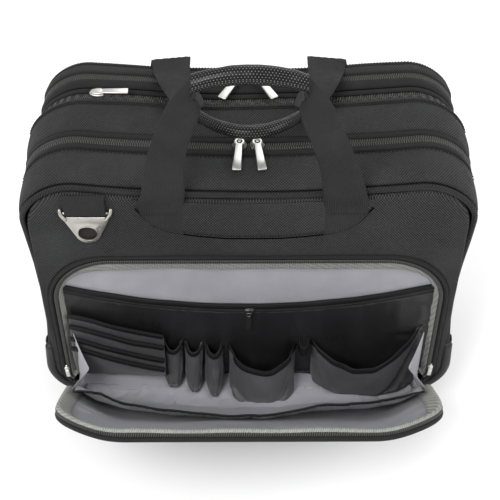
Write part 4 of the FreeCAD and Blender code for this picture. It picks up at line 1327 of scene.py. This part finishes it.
def drape(made, pinned, spare=0.04, frames=16, cap=7.0, weight=0.6, push=0.0):
    """Settles an open sheet by cloth simulation. Pinned points stay; the rest has spare cloth to hang in.

    cap is the furthest that a point may move, in millimetres, and push a pressure on its drawn side.
    """
    rest = read_points(made)
    group = made.vertex_groups.new(name="pinned")
    group.add([int(k) for k in np.flatnonzero(pinned.ravel())], 1.0, "REPLACE")
    change = made.modifiers.new("drape", "CLOTH")
    cloth = change.settings
    cloth.quality = 6
    cloth.mass = 0.12
    cloth.vertex_group_mass = "pinned"
    cloth.shrink_min = -spare
    cloth.tension_stiffness = 20
    cloth.compression_stiffness = 20
    cloth.shear_stiffness = 5
    cloth.bending_stiffness = 0.6
    cloth.effector_weights.gravity = weight
    if push:
        cloth.use_pressure = True
        cloth.uniform_pressure_force = push
    change.collision_settings.use_collision = False
    change.point_cache.frame_start = 1
    change.point_cache.frame_end = frames
    scene = bpy.context.scene
    for number in range(1, frames + 1):
        scene.frame_set(number)
    settled = made.evaluated_get(bpy.context.evaluated_depsgraph_get())
    values = np.zeros(len(rest) * 3, np.float32)
    settled.data.vertices.foreach_get("co", values)
    move = values.reshape(-1, 3) / MM - rest
    far = np.linalg.norm(move, axis=1, keepdims=True)
    move *= np.minimum(1.0, cap / np.maximum(far, 1e-6))
    made.modifiers.remove(change)
    made.vertex_groups.remove(group)
    scene.frame_set(1)
    points = rest + move
    write_points(made, points)
    return points


def edges_pinned(rows, cols, sides="ijIJ"):
    """Marks the chosen edges of a grid: i and I are its first and last rows, j and J its columns."""
    marks = np.zeros((rows, cols), bool)
    marks[0] |= "i" in sides
    marks[-1] |= "I" in sides
    marks[:, 0] |= "j" in sides
    marks[:, -1] |= "J" in sides
    return marks


def crown_only(points, limit_y):
    """Keeps cloth on its own side of a wall."""
    points[:, 1] = np.minimum(points[:, 1], limit_y)
    return points


def bind_edge(name, line, inward, face, width=5.0, thick=1.1, material=None):
    """Folded tape over the free edge of a pocket: line is the edge, inward points down the cloth."""
    path = np.asarray(line, float)
    along = tangents(path, False)
    inward = unit(inward - along * np.sum(inward * along, axis=1, keepdims=True))
    section = [(width, thick), (width * 0.5, thick * 1.25), (0.6, thick * 1.2), (-0.7, thick * 0.6),
               (-0.7, -thick * 0.6), (0.6, -thick * 1.1), (width * 0.8, -thick)]
    points = np.stack([path + inward * down + face * out for down, out in section], axis=1)
    made = sheet(name, points, material or binding_black())
    thicken(made, 0.4)
    return made


def bind_mouth(name, points, thick, outward, width=5.0):
    """Folded tape along the last edge of a pocket's grid of points, with its face turned outward."""
    line = points[:, -1]
    down = points[:, -3] - line
    face = np.cross(tangents(line, False), unit(down))
    face = np.where(face @ outward[:, None] < 0, -face, face)
    return bind_edge(name, line, down, face, width=width, thick=thick)


# Organizer pocket ---------------------------------------------------------------------------------

CLOTH_HALF = span("zipped_pocket")[1][0]
POCKET_ENDS_Z = span("zipped_pocket")[1][2]
POCKET_SAG = 29.0
POCKET_LOW_Z = span("zipped_pocket")[0][2] - 6.0


def inside_outline(x, z, half, low, high, radius):
    """Where points lie inside a rectangle with rounded upper corners."""
    side = np.maximum(np.abs(x) - (half - radius), 0)
    rise = np.maximum(z - (high - radius), 0)
    return (np.abs(x) < half) & (z > low) & (z < high) & (np.hypot(side, rise) < radius)


def build_lining_wall():
    x = np.linspace(-MOUTH_HALF, MOUTH_HALF, 125)[:, None]
    z = np.linspace(MOUTH_LOW - 2, MOUTH_TOP, 65)[None, :]
    x, z = np.broadcast_arrays(x, z)
    inset = 4.0
    keep = inside_outline(x, z, MOUTH_HALF - inset, MOUTH_LOW - 3, MOUTH_TOP - inset, MOUTH_R - inset)
    fall = 2.6 * np.abs(ripple(x, z * 0.25, 46.0, 31)) * smooth(MOUTH_TOP, MOUTH_TOP - 30, z)
    # Its folds and forward-rolled edges start above the zip, so that it stays behind the pocket.
    loose = smooth(zip_line(x) - 4, zip_line(x) + 12, z)
    side = 3.5 * smooth(MOUTH_HALF - 26, MOUTH_HALF - 8, np.abs(x))
    crown = 3.0 * smooth(MOUTH_TOP - 24, MOUTH_TOP - 8, z)
    y = WALL_Y - 0.2 - loose * (fall * 0.5 + side + crown)
    out = ~keep
    drop = out[:-1, :-1] | out[1:, :-1] | out[:-1, 1:] | out[1:, 1:]
    made = sheet("lining_wall", join(x, y, z), lining(), flat=join(x, z), drop=drop, flip=True)
    thicken(made, 0.8)
    place(made, "case", "lining", "organizer_wall")


def zip_line(x):
    """Height of the sagging top edge of the wall pocket."""
    return POCKET_ENDS_Z - POCKET_SAG * (1 - (x / CLOTH_HALF) ** 2)


def build_zipped_pocket():
    half = CLOTH_HALF + 8.5
    x = np.linspace(-half, half, 90)[:, None]
    share = np.linspace(0, 1, 44)[None, :]
    top = zip_line(x) - 9.5
    z = POCKET_LOW_Z + (top - POCKET_LOW_Z) * share
    swell = np.sin(math.pi * share) ** 0.7 * (1 - (np.abs(x) / half) ** 6)
    y = WALL_Y - 1.9 - 1.2 * swell - 0.4 * ripple(x, z, 34.0, 41) * swell
    made = sheet("zipped_pocket_cloth", join(x, y, z), black_satin(), flip=True)
    points = drape(made, edges_pinned(90, 44), spare=0.025, cap=3.5, weight=0.5)
    write_points(made, crown_only(points, WALL_Y - 1.7))
    thicken(made, 0.7)
    place(made, "case", "pocket_cloth", "zipped_pocket")

    xs = np.linspace(-half, half, 220)
    lip = np.array([(-9.0, 2.6), (-8.6, 3.1), (-6.6, 3.0)])
    hood = np.array([(-3.4, 2.9), (-3.1, 4.0), (-0.6, 4.3), (1.8, 4.1), (2.8, 3.4), (3.2, 1.8)])
    for name, section in (("zip_lip_low", lip), ("zip_lip_high", hood)):
        z = zip_line(xs)[:, None] + section[None, :, 0]
        y = WALL_Y - section[None, :, 1] - 0.35 * ripple(xs[:, None], z, 40.0, 43)
        strip = sheet(name, join(xs[:, None], y, z), binding_black(), flip=True)
        thicken(strip, 0.6)
        place(strip, "case", "pocket_cloth")
    fine = np.linspace(-half, half, int(half * 2 / 0.45))
    across = np.linspace(-1, 1, 8)[None, :]
    tooth = teeth_along(2 * math.pi * fine[:, None] / SMALL_PITCH + 1.3 * across)
    out = 2.0 + 1.3 * np.sqrt(np.clip(1 - across**4, 0, 1)) * (0.3 + 0.7 * tooth)
    z = zip_line(fine)[:, None] - 5.0 + across * 1.9
    points = join(fine[:, None], WALL_Y - out, z)
    flat = join(fine[:, None], across * 1.9)
    teeth = sheet("inner_zip_coil", points, coil_plastic(SMALL_PITCH, SMALL_LEAN, 1), flip=True, flat=flat)
    place(teeth, "case", "zip_tape")


SLOT_LEFT, SLOT_RIGHT = span("card_slots")[0][0] - 4.0, span("card_slots")[1][0]


def build_card_slots():
    """Four overlapping card pockets, each bound along an upper edge that droops to the right."""
    count = 46
    across = np.linspace(0, 1, count)
    x = SLOT_LEFT + (SLOT_RIGHT - SLOT_LEFT) * across
    tops = (151.0, 136.0, 119.0, 107.0)
    for row, top in enumerate(tops):
        droop = 29.0 - 1.0 * row
        edge = top - droop * across**1.15 - 2.0 * np.sin(math.pi * across)
        forward = 3.0 + 2.2 * row + (4.5 + 1.4 * row) * np.sin(math.pi * across * 0.55) ** 1.5
        share = np.linspace(0, 1, 30)[None, :]
        low = MOUTH_LOW + 4.0
        z = low + (edge[:, None] - low) * share
        fill = (0.25 + 0.75 * np.sin(share * math.pi / 2)) * smooth(-0.02, 0.12, share)
        y = WALL_Y - 2.6 - forward[:, None] * fill
        y = y - 0.5 * ripple(x[:, None], z, 38.0, 50 + row)
        points = join(x[:, None], y, z)
        made = sheet(f"card_slot_{row + 1}", points, pocket_satin(), flip=True)
        thicken(made, 0.6)
        line = points[:, -1] + [0, -0.4, 0]
        tape = bind_edge(f"card_slot_binding_{row + 1}", line, -Z_UP, Y_FRONT, width=4.6, thick=0.8)
        for piece in (made, tape):
            soft(piece)
            place(piece, "case", "pocket_cloth", *(("card_slots",) if row == 0 and piece is made else ()))


def soft(made):
    """Gives a pocket piece its own copy of its mesh."""
    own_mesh(made)


def pocket(name, x0, x1, low, edge, top_depth, foot_depth, seed, box=0.35, cap=6.0, spare=0.05):
    """A gathered pocket with a bound, scooped mouth and a deep foot.

    edge and top_depth are functions of the share across; foot_depth is how far its foot stands out.
    """
    cols, rows = 54, 34
    across = np.linspace(0, 1, cols)[:, None]
    up = np.r_[0.0, 0.0, np.linspace(0.0, 1, rows - 2)][None, :]
    closing = np.r_[0.0, 0.55, np.ones(rows - 2)][None, :]
    z = low + (edge(across) - low) * up - 1.0 * (1 - closing)
    body = np.clip(np.sin(math.pi * across), 0, 1) ** box
    depth = foot_depth * (1 - up) ** 1.2 + top_depth(across) * (1 - (1 - up) ** 1.2)
    x = x0 + (x1 - x0) * across
    wrinkle = 1.0 * ripple(x, z, 26.0, seed) * body * smooth(0, 0.2, up)
    y = WALL_Y - 3.0 - depth * body * closing - wrinkle
    made = sheet(name, join(x, y, z), pocket_satin(), flip=True)
    marks = edges_pinned(cols, rows, "iIj")
    marks[:, :2] = True
    points = drape(made, marks, spare=spare, cap=cap, weight=1.0)
    points = crown_only(points, WALL_Y - 2.6)
    write_points(made, points)
    thicken(made, 0.8)
    tape = bind_mouth(f"{name}_binding", points.reshape(cols, rows, 3), 0.8, Y_FRONT)
    for piece in (made, tape):
        soft(piece)
    return made, tape


def build_pen_loops():
    """Three round-fronted pen sleeves with scooped, bound tops."""
    spots = ((-86.5, -66.0, 19.0), (-64.5, -45.5, 25.0), (-44.0, -25.5, 31.0))
    for number, (x0, x1, foot) in enumerate(spots):
        made, tape = pocket(
            f"pen_sleeve_{number + 1}", x0, x1, MOUTH_LOW + 2.0,
            lambda share: 106.0 - 6.0 * np.sin(math.pi * share) - 2.0 * number,
            lambda share: 11.0 + 1.5 * number + 0 * share, foot, 60 + number, box=0.55, cap=3.0, spare=0.03)
        place(made, "case", "pocket_cloth", *(("pen_loops",) if number == 0 else ()))
        place(tape, "case", "pocket_cloth")


def build_pouches():
    x0, x1 = span("centre_pouch")[0][0], span("centre_pouch")[1][0]
    made, tape = pocket(
        "centre_pouch_cloth", x0, x1 + 1, MOUTH_LOW + 3.0,
        lambda share: 98.0 - 14.0 * np.sin(math.pi * share) ** 0.9,
        lambda share: 25.0 + 0 * share, 40.0, 71, box=0.24)
    place(made, "case", "pocket_cloth", "centre_pouch")
    place(tape, "case", "pocket_cloth")
    x0, x1 = span("right_pouch")[0][0], span("right_pouch")[1][0]
    # Its mouth runs as one smooth curve close to these heights, and sweeps up to the right.
    rise = np.polyfit([0.0, 0.2, 0.42, 0.58, 0.78, 1.0], [104.0, 95.5, 88.0, 88.0, 102.0, 132.0], 4)

    made, tape = pocket(
        "right_pouch_cloth", x0 + 1, x1 + 4, MOUTH_LOW + 5.0, lambda share: np.polyval(rise, share),
        lambda share: 26.0 * (1 - 0.35 * smooth(0.55, 1.0, share)), 27.0, 73, box=0.34)
    place(made, "case", "pocket_cloth", "right_pouch")
    place(tape, "case", "pocket_cloth")
    # Elastic loop between the two pouches.
    turn = np.linspace(0, math.pi, 30)
    loop_y = WALL_Y - 3.5 - 14.0 * np.sin(turn) ** 0.7
    path = join(54.5 + 4.5 * np.cos(turn), loop_y, 104.0)
    wide = np.linspace(-7.0, 7.0, 7)
    points = path[:, None] + join(0.0, 0.0, wide)[None]
    loop = sheet("elastic_loop", points, binding_black())
    thicken(loop, 1.2, 0.0)
    soft(loop)
    place(loop, "case", "pocket_cloth")


# Flap ---------------------------------------------------------------------------------------------

FLAP_NORMAL = np.array([0.0, math.cos(FLAP_OPEN), math.sin(FLAP_OPEN)])
LIFT_X = (-172.0, -160.0, -141.0, -110.0, -82.0, -35.0, 0.0, 10.0,
          24.0, 50.0, 75.0, 98.0, 127.0, 155.0, 172.0)
LIFT_H = (6.0, 12.0, 17.0, 13.0, 8.0, 3.0, 1.5, 1.0, 3.0, 8.0, 12.0, 15.0, 14.0, 10.0, 5.0)


def flatten(*made):
    """Gives each flap piece its own copy of its mesh."""
    for piece in made:
        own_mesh(piece)


def flap_grid(cols, rows, inset, low):
    """X and T over the flap, inside its outline by an inset and above a lower line."""
    t = np.linspace(low, FLAP_LEN + 1 - inset, rows)[None, :]
    radius = FLAP_R - inset
    rise = np.clip(t - (FLAP_LEN + 1 - inset - radius), 0, radius)
    half = FLAP_HALF - inset - radius + np.sqrt(np.clip(radius**2 - rise**2, 0, None))
    x = np.linspace(-1, 1, cols)[:, None] * half
    return x, t + 0 * x


def build_flap_shell():
    x, t = flap_grid(110, 64, 1.5, -3.0)
    edge = FLAP_HALF - np.abs(x)
    # Seen from outside, the cloth swells a little between its seams.
    swell = 1.6 * smooth(0, 26, FLAP_LEN - t) * smooth(0, 26, edge) + 0.6 * ripple(x, t, 80.0, 81)
    points = flap_point(x, t, -5.6 - swell)
    made = sheet("flap_outer_cloth", points, nylon(), flat=join(x, t))
    thicken(made, 1.0, 1.0)
    flatten(made)
    place(made, "flap", "nylon", "flap_panel")


def build_flap_rim():
    """From its underside up, the edge shows a black roll, a row of teeth and a lip of pale tape."""
    start = FLAP.level(16.0)
    s = FLAP.even(2.0, start - 10, FLAP.length - start + 10)
    roll = rim_strip("flap_roll", FLAP, flap_point, s, round_section(-1.2, -4.2, 2.7), tape_cloth())
    place(roll, "flap", "nylon", "flap_binding")
    fine = FLAP.even(0.45, start - 6, FLAP.length - start + 6)
    teeth = rim_coil("flap_coil", FLAP, flap_point, fine, 0.4, 4.2, 0.2, outward=True)
    place(teeth, "flap", "zip_tape")
    waves = FLAP.even(0.5, start - 8, FLAP.length - start + 8)
    offset = np.array([0.2, 0.1, -0.8, -2.2, -4.2, -7.0, -10.5, -14.0])
    height = np.array([1.9, 3.2, 4.6, 5.2, 4.8, 3.2, 1.2, -0.6])
    rib = 0.34 * np.cos(2 * math.pi * waves[:, None] / 2.6 + 0.1 * offset[None, :])
    swing = 0.5 * ripple(waves[:, None], offset[None, :], 55.0, 83)
    across, up = offset[None, :] + rib * 0.6, height[None, :] + rib + swing
    points = rim_path(FLAP, flap_point, waves[:, None], across, up)
    tape = sheet("flap_tape", points, pale_binding())
    thicken(tape, 0.7)
    flatten(roll, teeth, tape)
    place(tape, "flap", "trim")


def build_flap_lining():
    x, t = flap_grid(80, 48, 9.0, 1.0)
    points = flap_point(x, t, -1.6 + 0.5 * ripple(x, t, 60.0, 85))
    made = sheet("flap_lining", points, lining(), flat=join(x, t), flip=True)
    drape(made, edges_pinned(80, 48), spare=0.02, cap=3.0, weight=0.5)
    thicken(made, 0.6)
    flatten(made)
    place(made, "flap", "lining")


def build_slip_pocket():
    """An open pocket inside the flap, tacked near its middle, whose bound mouth gapes towards the rim."""
    cols, rows = 150, 32
    x = np.linspace(-167.0, 167.0, cols)[:, None]
    share = np.linspace(0, 1, rows)[None, :]
    lift = np.interp(x, LIFT_X, LIFT_H)
    t = -1.0 + 101.0 * share
    h = 0.4 + lift * share**1.7 + 3.0 * np.sin(math.pi * share) * np.clip(lift / 12.0, 0, 1)
    h = h + 0.9 * ripple(x, t, 38.0, 90) * share
    made = sheet("slip_pocket", flap_point(x, t, h), lining(), flat=join(x, t), flip=True)
    points = drape(made, edges_pinned(cols, rows, "iIjJ"), spare=0.04, cap=5.0, weight=0.8)
    thicken(made, 0.6)
    grid = points.reshape(cols, rows, 3)
    tape = bind_mouth("slip_pocket_binding", grid, 0.9, FLAP_NORMAL, width=4.6)
    flatten(made, tape)
    place(made, "flap", "lining", "flap_slip_pocket")
    place(tape, "flap", "lining")


GUSSET_REACH = 78.0


def polar(points):
    """Distance and turn from the flap's hinge line, for points beside it."""
    y, z = points[..., 1] - HINGE[1], points[..., 2] - HINGE[2]
    return np.hypot(y, z), np.arctan2(-y, z)


def build_side_gussets():
    """Folding cloth triangles between the case and the flap, creased inwards along their middle."""
    turn = np.linspace(0, 1, 34)[:, None]
    out = np.linspace(0, 1, 26)[None, :]
    crease = 1 - np.abs(2 * turn - 1) ** 1.3
    reach = 3.0 + (GUSSET_REACH - 3.0) * out
    for hand, name in ((-1, "left"), (1, "right")):
        side = hand * (FLAP_HALF - 5.0)
        on_case = polar(join(side, HINGE[1] + 4.0, HINGE[2] + reach))
        on_flap = polar(flap_point(side, reach, 1.0))
        far = on_case[0] * (1 - turn) + on_flap[0] * turn
        angle = on_case[1] * (1 - turn) + on_flap[1] * turn
        # The free edge is a nearly straight line from the case to the flap.
        far = far * (1 - 0.36 * np.sin(math.pi * turn) * out)
        x = hand * (FLAP_HALF - 5.0 - 14.0 * crease * out**0.8)
        x = x + 0.8 * ripple(reach, turn * 60, 30.0, 95) * crease
        y = HINGE[1] - far * np.sin(angle)
        z = HINGE[2] + far * np.cos(angle)
        made = sheet(f"side_gusset_{name}", join(x, y, z), lining(), flip=hand > 0)
        thicken(made, 0.7, 0.0)
        bend_between(made)
        if hand < 0:
            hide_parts("pocket_gussets")


def hinge_fold(name, material, on_case, on_flap, flip):
    """A fold of cloth that joins the flap to the foot of the pocket. It turns between two depths."""
    x = np.linspace(-FLAP_HALF + 3, FLAP_HALF - 3, 90)
    rows = [join(x, y, z) for y, z in on_case] + [flap_point(x, t, h) for t, h in on_flap]
    knots = np.stack(rows, axis=1)
    places = np.linspace(0, len(rows) - 1, 4 * len(rows))
    index = np.clip(places.astype(int), 0, len(rows) - 2)
    part = (places - index)[None, :, None]
    points = knots[:, index] * (1 - part) + knots[:, index + 1] * part
    made = sheet(name, points, material, flip=flip)
    thicken(made, 0.8)
    bend_between(made)


def build_flap_hinge():
    hinge_fold("hinge_fold_lining", lining(), [(-80.5, 46.0), (-84.0, 44.5), (-89.0, 43.5)],
               [(1.5, -1.6), (3.0, -1.6), (4.5, -1.6)], True)
    hinge_fold("hinge_fold_outer", nylon(), [(-85.5, 40.0), (-89.5, 39.0), (-92.5, 38.5)],
               [(-2.0, -6.0), (0.0, -6.1), (3.0, -6.3)], False)


# Zips ---------------------------------------------------------------------------------------------


def bar(name, start, end, up, width, thick, material, round_r=0.7, taper=0.0):
    """A straight bar with rounded edges, closed at both ends. taper narrows its start."""
    start, end, up = (np.asarray(value, float) for value in (start, end, up))
    along = unit(end - start)
    length = np.linalg.norm(end - start)
    across = np.cross(along, up)
    corner = np.radians(np.linspace(0, 90, 4))
    ring = []
    for quarter, (sx, sz) in enumerate(((1, 1), (-1, 1), (-1, -1), (1, -1))):
        turn = corner + math.radians(90 * quarter)
        ring.append(np.c_[sx * (width / 2 - round_r) + round_r * np.cos(turn),
                          sz * (thick / 2 - round_r) + round_r * np.sin(turn)])
    ring = np.concatenate(ring)
    inset = np.array([thick * 0.5, round_r, round_r * 0.3, 0.0, 0.0, round_r * 0.3, round_r, thick * 0.5])
    start_half = np.array([0.0, 0.0, round_r * 0.3, round_r])
    place_at = np.r_[start_half, (length - start_half)[::-1]]
    grow = 1 - taper * np.array([1.0, 1.0, 1.0, 0.9, 0.0, 0.0, 0.0, 0.0])
    size_x = (1 - inset / (width / 2)) * grow
    size_z = np.array([0.05, 0.6, 0.85, 1.0, 1.0, 0.85, 0.6, 0.05])
    size_x[0] = size_x[-1] = 0.1
    points = (start + along * place_at[:, None])[:, None]
    points = points + across * (ring[:, 0][None, :] * size_x[:, None])[..., None]
    points = points + up * (ring[:, 1][None, :] * size_z[:, None])[..., None]
    return sheet(name, points, material, tube=True)


def slider_body(name, centre, along, up, length, width, high, material):
    """The two stacked shells of a zip slider, broad at their nose and narrow at their tail."""
    centre, along, up = (np.asarray(value, float) for value in (centre, along, up))
    pieces = []
    shares = np.linspace(-0.5, 0.5, 26)
    shape = (1 - 0.32 * smooth(-0.1, 0.5, shares)) * np.sqrt(np.clip(1 - np.abs(2 * shares) ** 5, 0.02, 1))
    for number, (level, size, flat) in enumerate(((0.22, 1.0, 0.34), (0.72, 0.84, 0.40))):
        path = centre + along * (shares * length * size)[:, None] + up * high * level
        ribs = width / 2 * size * shape
        depth = flat * high / width * 2
        pieces.append(cord(f"{name}_{number}", path, up, ribs, material, sides=20, flat=depth))
    return pieces


def place_slider(node, name, foot, along, up, size, material):
    """Builds a slider's two shells. The lower one stands for its node."""
    lower, upper = slider_body(name, foot, along, up, *size, material)
    place(lower, node, "nickel", node)
    place(upper, node, "nickel")


def ring_eye(name, centre, up, radius, thick, material):
    turn = np.linspace(0, 2 * math.pi, 40, endpoint=False)
    up = np.asarray(up, float)
    first = unit(np.cross(up, [1.0, 0.0, 0.0]))
    second = np.cross(up, first)
    path = centre + radius * (np.cos(turn)[:, None] * first + np.sin(turn)[:, None] * second)
    return cord(name, path, up, thick, material, closed=True, sides=12, flat=0.8)


POCKET_SLIDER_Z = 66.0


def build_top_zips():
    """Sliders and bar pulls of the two zips that open the top."""
    spots = (("front", "left", -4.0), ("front", "right", 7.0),
             ("rear", "left", -28.0), ("rear", "right", 28.0))
    for row, hand, splay in spots:
        pull, slider = f"{row}_pull_{hand}", f"{row}_slider_{hand}"
        pivot = joint_at(f"{row}_pull_{hand}_swivel")
        low, high = span(slider)
        rise = float(top_rise(np.array(pivot[0]), np.array(pivot[1])))
        foot = np.array([pivot[0], pivot[1], low[2] + rise - 0.4])
        outwards = [1.0 if pivot[0] > 0 else -1.0, 0, 0]
        place_slider(slider, f"{slider}_shell", foot, outwards, Z_UP, (14.0, 9.4, 3.6), dark_metal())
        rises = np.linspace(foot[2] + 1, high[2] + rise, 14)
        path = join(pivot[0], pivot[1], rises)
        stud = capped(f"{slider}_stud", path, [1.0, 0, 0], 1.5, bright_nickel(), sides=14)
        place(stud, slider, "nickel")
        level = (span(pull)[0][2] + span(pull)[1][2]) / 2 + rise
        centre = np.array([pivot[0], pivot[1], level])
        eye = ring_eye(f"{pull}_eye", centre, Z_UP, 3.5, 1.35, bright_nickel())
        place(eye, pull, "nickel", pull)
        turn = math.radians(splay)
        way = np.array([math.sin(turn), -math.cos(turn), 0.0])
        start, end = centre + way * 3.2, centre + way * 36.0
        tag = bar(f"{pull}_tag", start, end, Z_UP, 8.2, 2.3, bright_nickel(), 0.8, 0.28)
        place(tag, pull, "nickel")


def build_expansion_zip():
    """The slider of the zip round the case's middle."""
    low, high = span("expansion_slider")
    rise = float(top_rise(np.array((low[0] + high[0]) / 2), np.array(EXPANSION_COIL_Y)))
    foot = np.array([low[0] + 7.0, EXPANSION_COIL_Y, low[2] + rise - 0.3])
    size = (14.0, 10.0, 3.6)
    node = "expansion_slider"
    place_slider(node, f"{node}_shell", foot, [-1.0, 0, 0], Z_UP, size, bright_nickel())
    start = foot + [5.0, 0, 2.6]
    end = start + [24.0, -0.5, 0.4]
    tag = bar(f"{node}_tag", start, end, Z_UP, 7.2, 2.0, bright_nickel(), 0.7, 0.2)
    place(tag, node, "nickel")


def build_pocket_zips():
    """Small sliders of the organizer pocket's zip, and the one in its wall."""
    for hand, sign in (("left", -1.0), ("right", 1.0)):
        node = f"pocket_slider_{hand}"
        low, high = span(node)
        middle = (low + high) / 2
        foot = np.array([middle[0], FRONT + 0.4, POCKET_SLIDER_Z])
        size = (9.0, 6.4, 3.2)
        place_slider(node, f"{node}_shell", foot, [0, 0, -1.0], Y_FRONT, size, bright_nickel())
        start = foot + [0, -3.0, -1.0]
        end = start + [-0.8 * sign, -0.6, -10.0]
        tag = bar(f"{node}_tag", start, end, Y_FRONT, 4.2, 1.4, bright_nickel(), 0.5)
        place(tag, node, "nickel")
    low, high = span("inner_zip_slider")
    middle = (low + high) / 2
    foot = np.array([middle[0], WALL_Y - 3.5, zip_line(middle[0]) - 5.0])
    size = (11.0, 7.0, 2.6)
    place_slider("inner_zip_slider", "inner_slider_shell", foot, [-1.0, 0, 0], Y_FRONT, size, dark_metal())
    eye = ring_eye("inner_slider_eye", foot + [0, -2.6, -4.2], Y_FRONT, 2.4, 0.8, dark_metal())
    place(eye, "inner_zip_slider", "nickel")
    start = foot + [0, -2.6, -6.2]
    tag = bar("inner_slider_tag", start, start + [0, -0.6, -20.0], Y_FRONT, 5.6, 1.3, moulded(), 0.5, 0.2)
    place(tag, "inner_zip_slider", "nickel")


# Carried-over parts -------------------------------------------------------------------------------


def finish_frame_nodes():
    """Materials and soft edges for the CAD parts that show as they are."""
    looks = {
        "wheel_housings": (moulded(), 1.2),
        "wheel_axles": (steel(), 0.3),
        "wheel_hub_left": (moulded(), 0.6),
        "wheel_hub_right": (moulded(), 0.6),
        "tyre_left": (rubber(), 0.4),
        "tyre_right": (rubber(), 0.4),
        "trolley_housing": (moulded(), 0.9),
        "outer_tubes": (tube_metal(), 0.4),
        "middle_tubes": (tube_metal(), 0.4),
        "inner_tubes": (tube_metal(), 0.4),
        "trolley_grip": (moulded(), 0.9),
        "release_button": (moulded("button_plastic", 0.03, 0.8), 0.4),
        "push_rods": (steel(), 0.2),
        "front_feet": (rubber(), 0.8),
        "base_board": (board(), 0.4),
        "divider_panel": (board(), 0.4),
        "laptop_sleeve": (board(), 0.4),
    }
    for node, (material, width) in looks.items():
        made = frame["nodes"][node]
        made.data.materials.clear()
        made.data.materials.append(material)
        bevel(made, width, 3, 40.0)


PARTS = [
    build_body_bands,
    build_front_panel,
    build_yoke,
    build_mouth_rim,
    build_corner_bumpers,
    build_rear_panel,
    build_handles,
    build_rings,
    build_lining_wall,
    build_zipped_pocket,
    build_card_slots,
    build_pen_loops,
    build_pouches,
    build_flap_shell,
    build_flap_rim,
    build_flap_lining,
    build_slip_pocket,
    build_side_gussets,
    build_flap_hinge,
    build_top_zips,
    build_expansion_zip,
    build_pocket_zips,
    finish_frame_nodes,
]


# Stage --------------------------------------------------------------------------------------------

CAMERA_AT = (-2.0, -831.0, 1099.0)
CAMERA_DOWN = 48.9
CAMERA_TURN = 0.25
CAMERA_LENS = 89.35


def area_light(name, at, aim, size, power, shade=(1.0, 1.0, 1.0)):
    data = bpy.data.lights.new(name, "AREA")
    data.shape = "DISK"
    data.size = size
    data.energy = power
    data.color = shade
    lamp = bpy.data.objects.new(name, data)
    lamp.location = at
    lamp.rotation_euler = (Vector(aim) - Vector(at)).to_track_quat("-Z", "Y").to_euler()
    bpy.context.scene.collection.objects.link(lamp)


def build_stage():
    """Pale floor, soft studio light and a camera that looks down at the front."""
    make = Finish("floor_paint")
    cloudy = make.noise(300.0, 2.0)
    shade = make.mix(cloudy, (0.86, 0.86, 0.86), (0.90, 0.90, 0.90))
    paint = make.done(shade, 0.85)
    reach = np.linspace(-4000.0, 4000.0, 9)
    points = np.stack(np.meshgrid(reach, reach, [0.0], indexing="ij"), axis=-1)[:, :, 0]
    floor = sheet("floor", points, paint, flip=True)

    world = bpy.data.worlds.new("studio")
    bpy.context.scene.world = world
    world.use_nodes = True
    backdrop = world.node_tree.nodes["Background"]
    backdrop.inputs["Color"].default_value = (1.0, 1.0, 1.0, 1.0)
    backdrop.inputs["Strength"].default_value = 0.85
    middle = (0.0, 0.0, 0.18)
    area_light("key_light", (-0.9, -1.2, 1.8), middle, 1.2, 36.0)
    area_light("fill_light", (1.3, -0.7, 1.3), middle, 1.2, 14.0)
    area_light("back_light", (0.3, 1.3, 1.5), middle, 1.2, 8.0)

    data = bpy.data.cameras.new("camera")
    data.lens = CAMERA_LENS
    data.sensor_width = 36.0
    camera = bpy.data.objects.new("camera", data)
    camera.location = [MM * value for value in CAMERA_AT]
    camera.rotation_euler = (math.radians(90 - CAMERA_DOWN), 0, -math.radians(CAMERA_TURN))
    bpy.context.scene.collection.objects.link(camera)
    bpy.context.scene.camera = camera
    bpy.context.scene.view_settings.view_transform = "Standard"


# Build --------------------------------------------------------------------------------------------


def main():
    for part in PARTS:
        part()
    build_stage()


main()
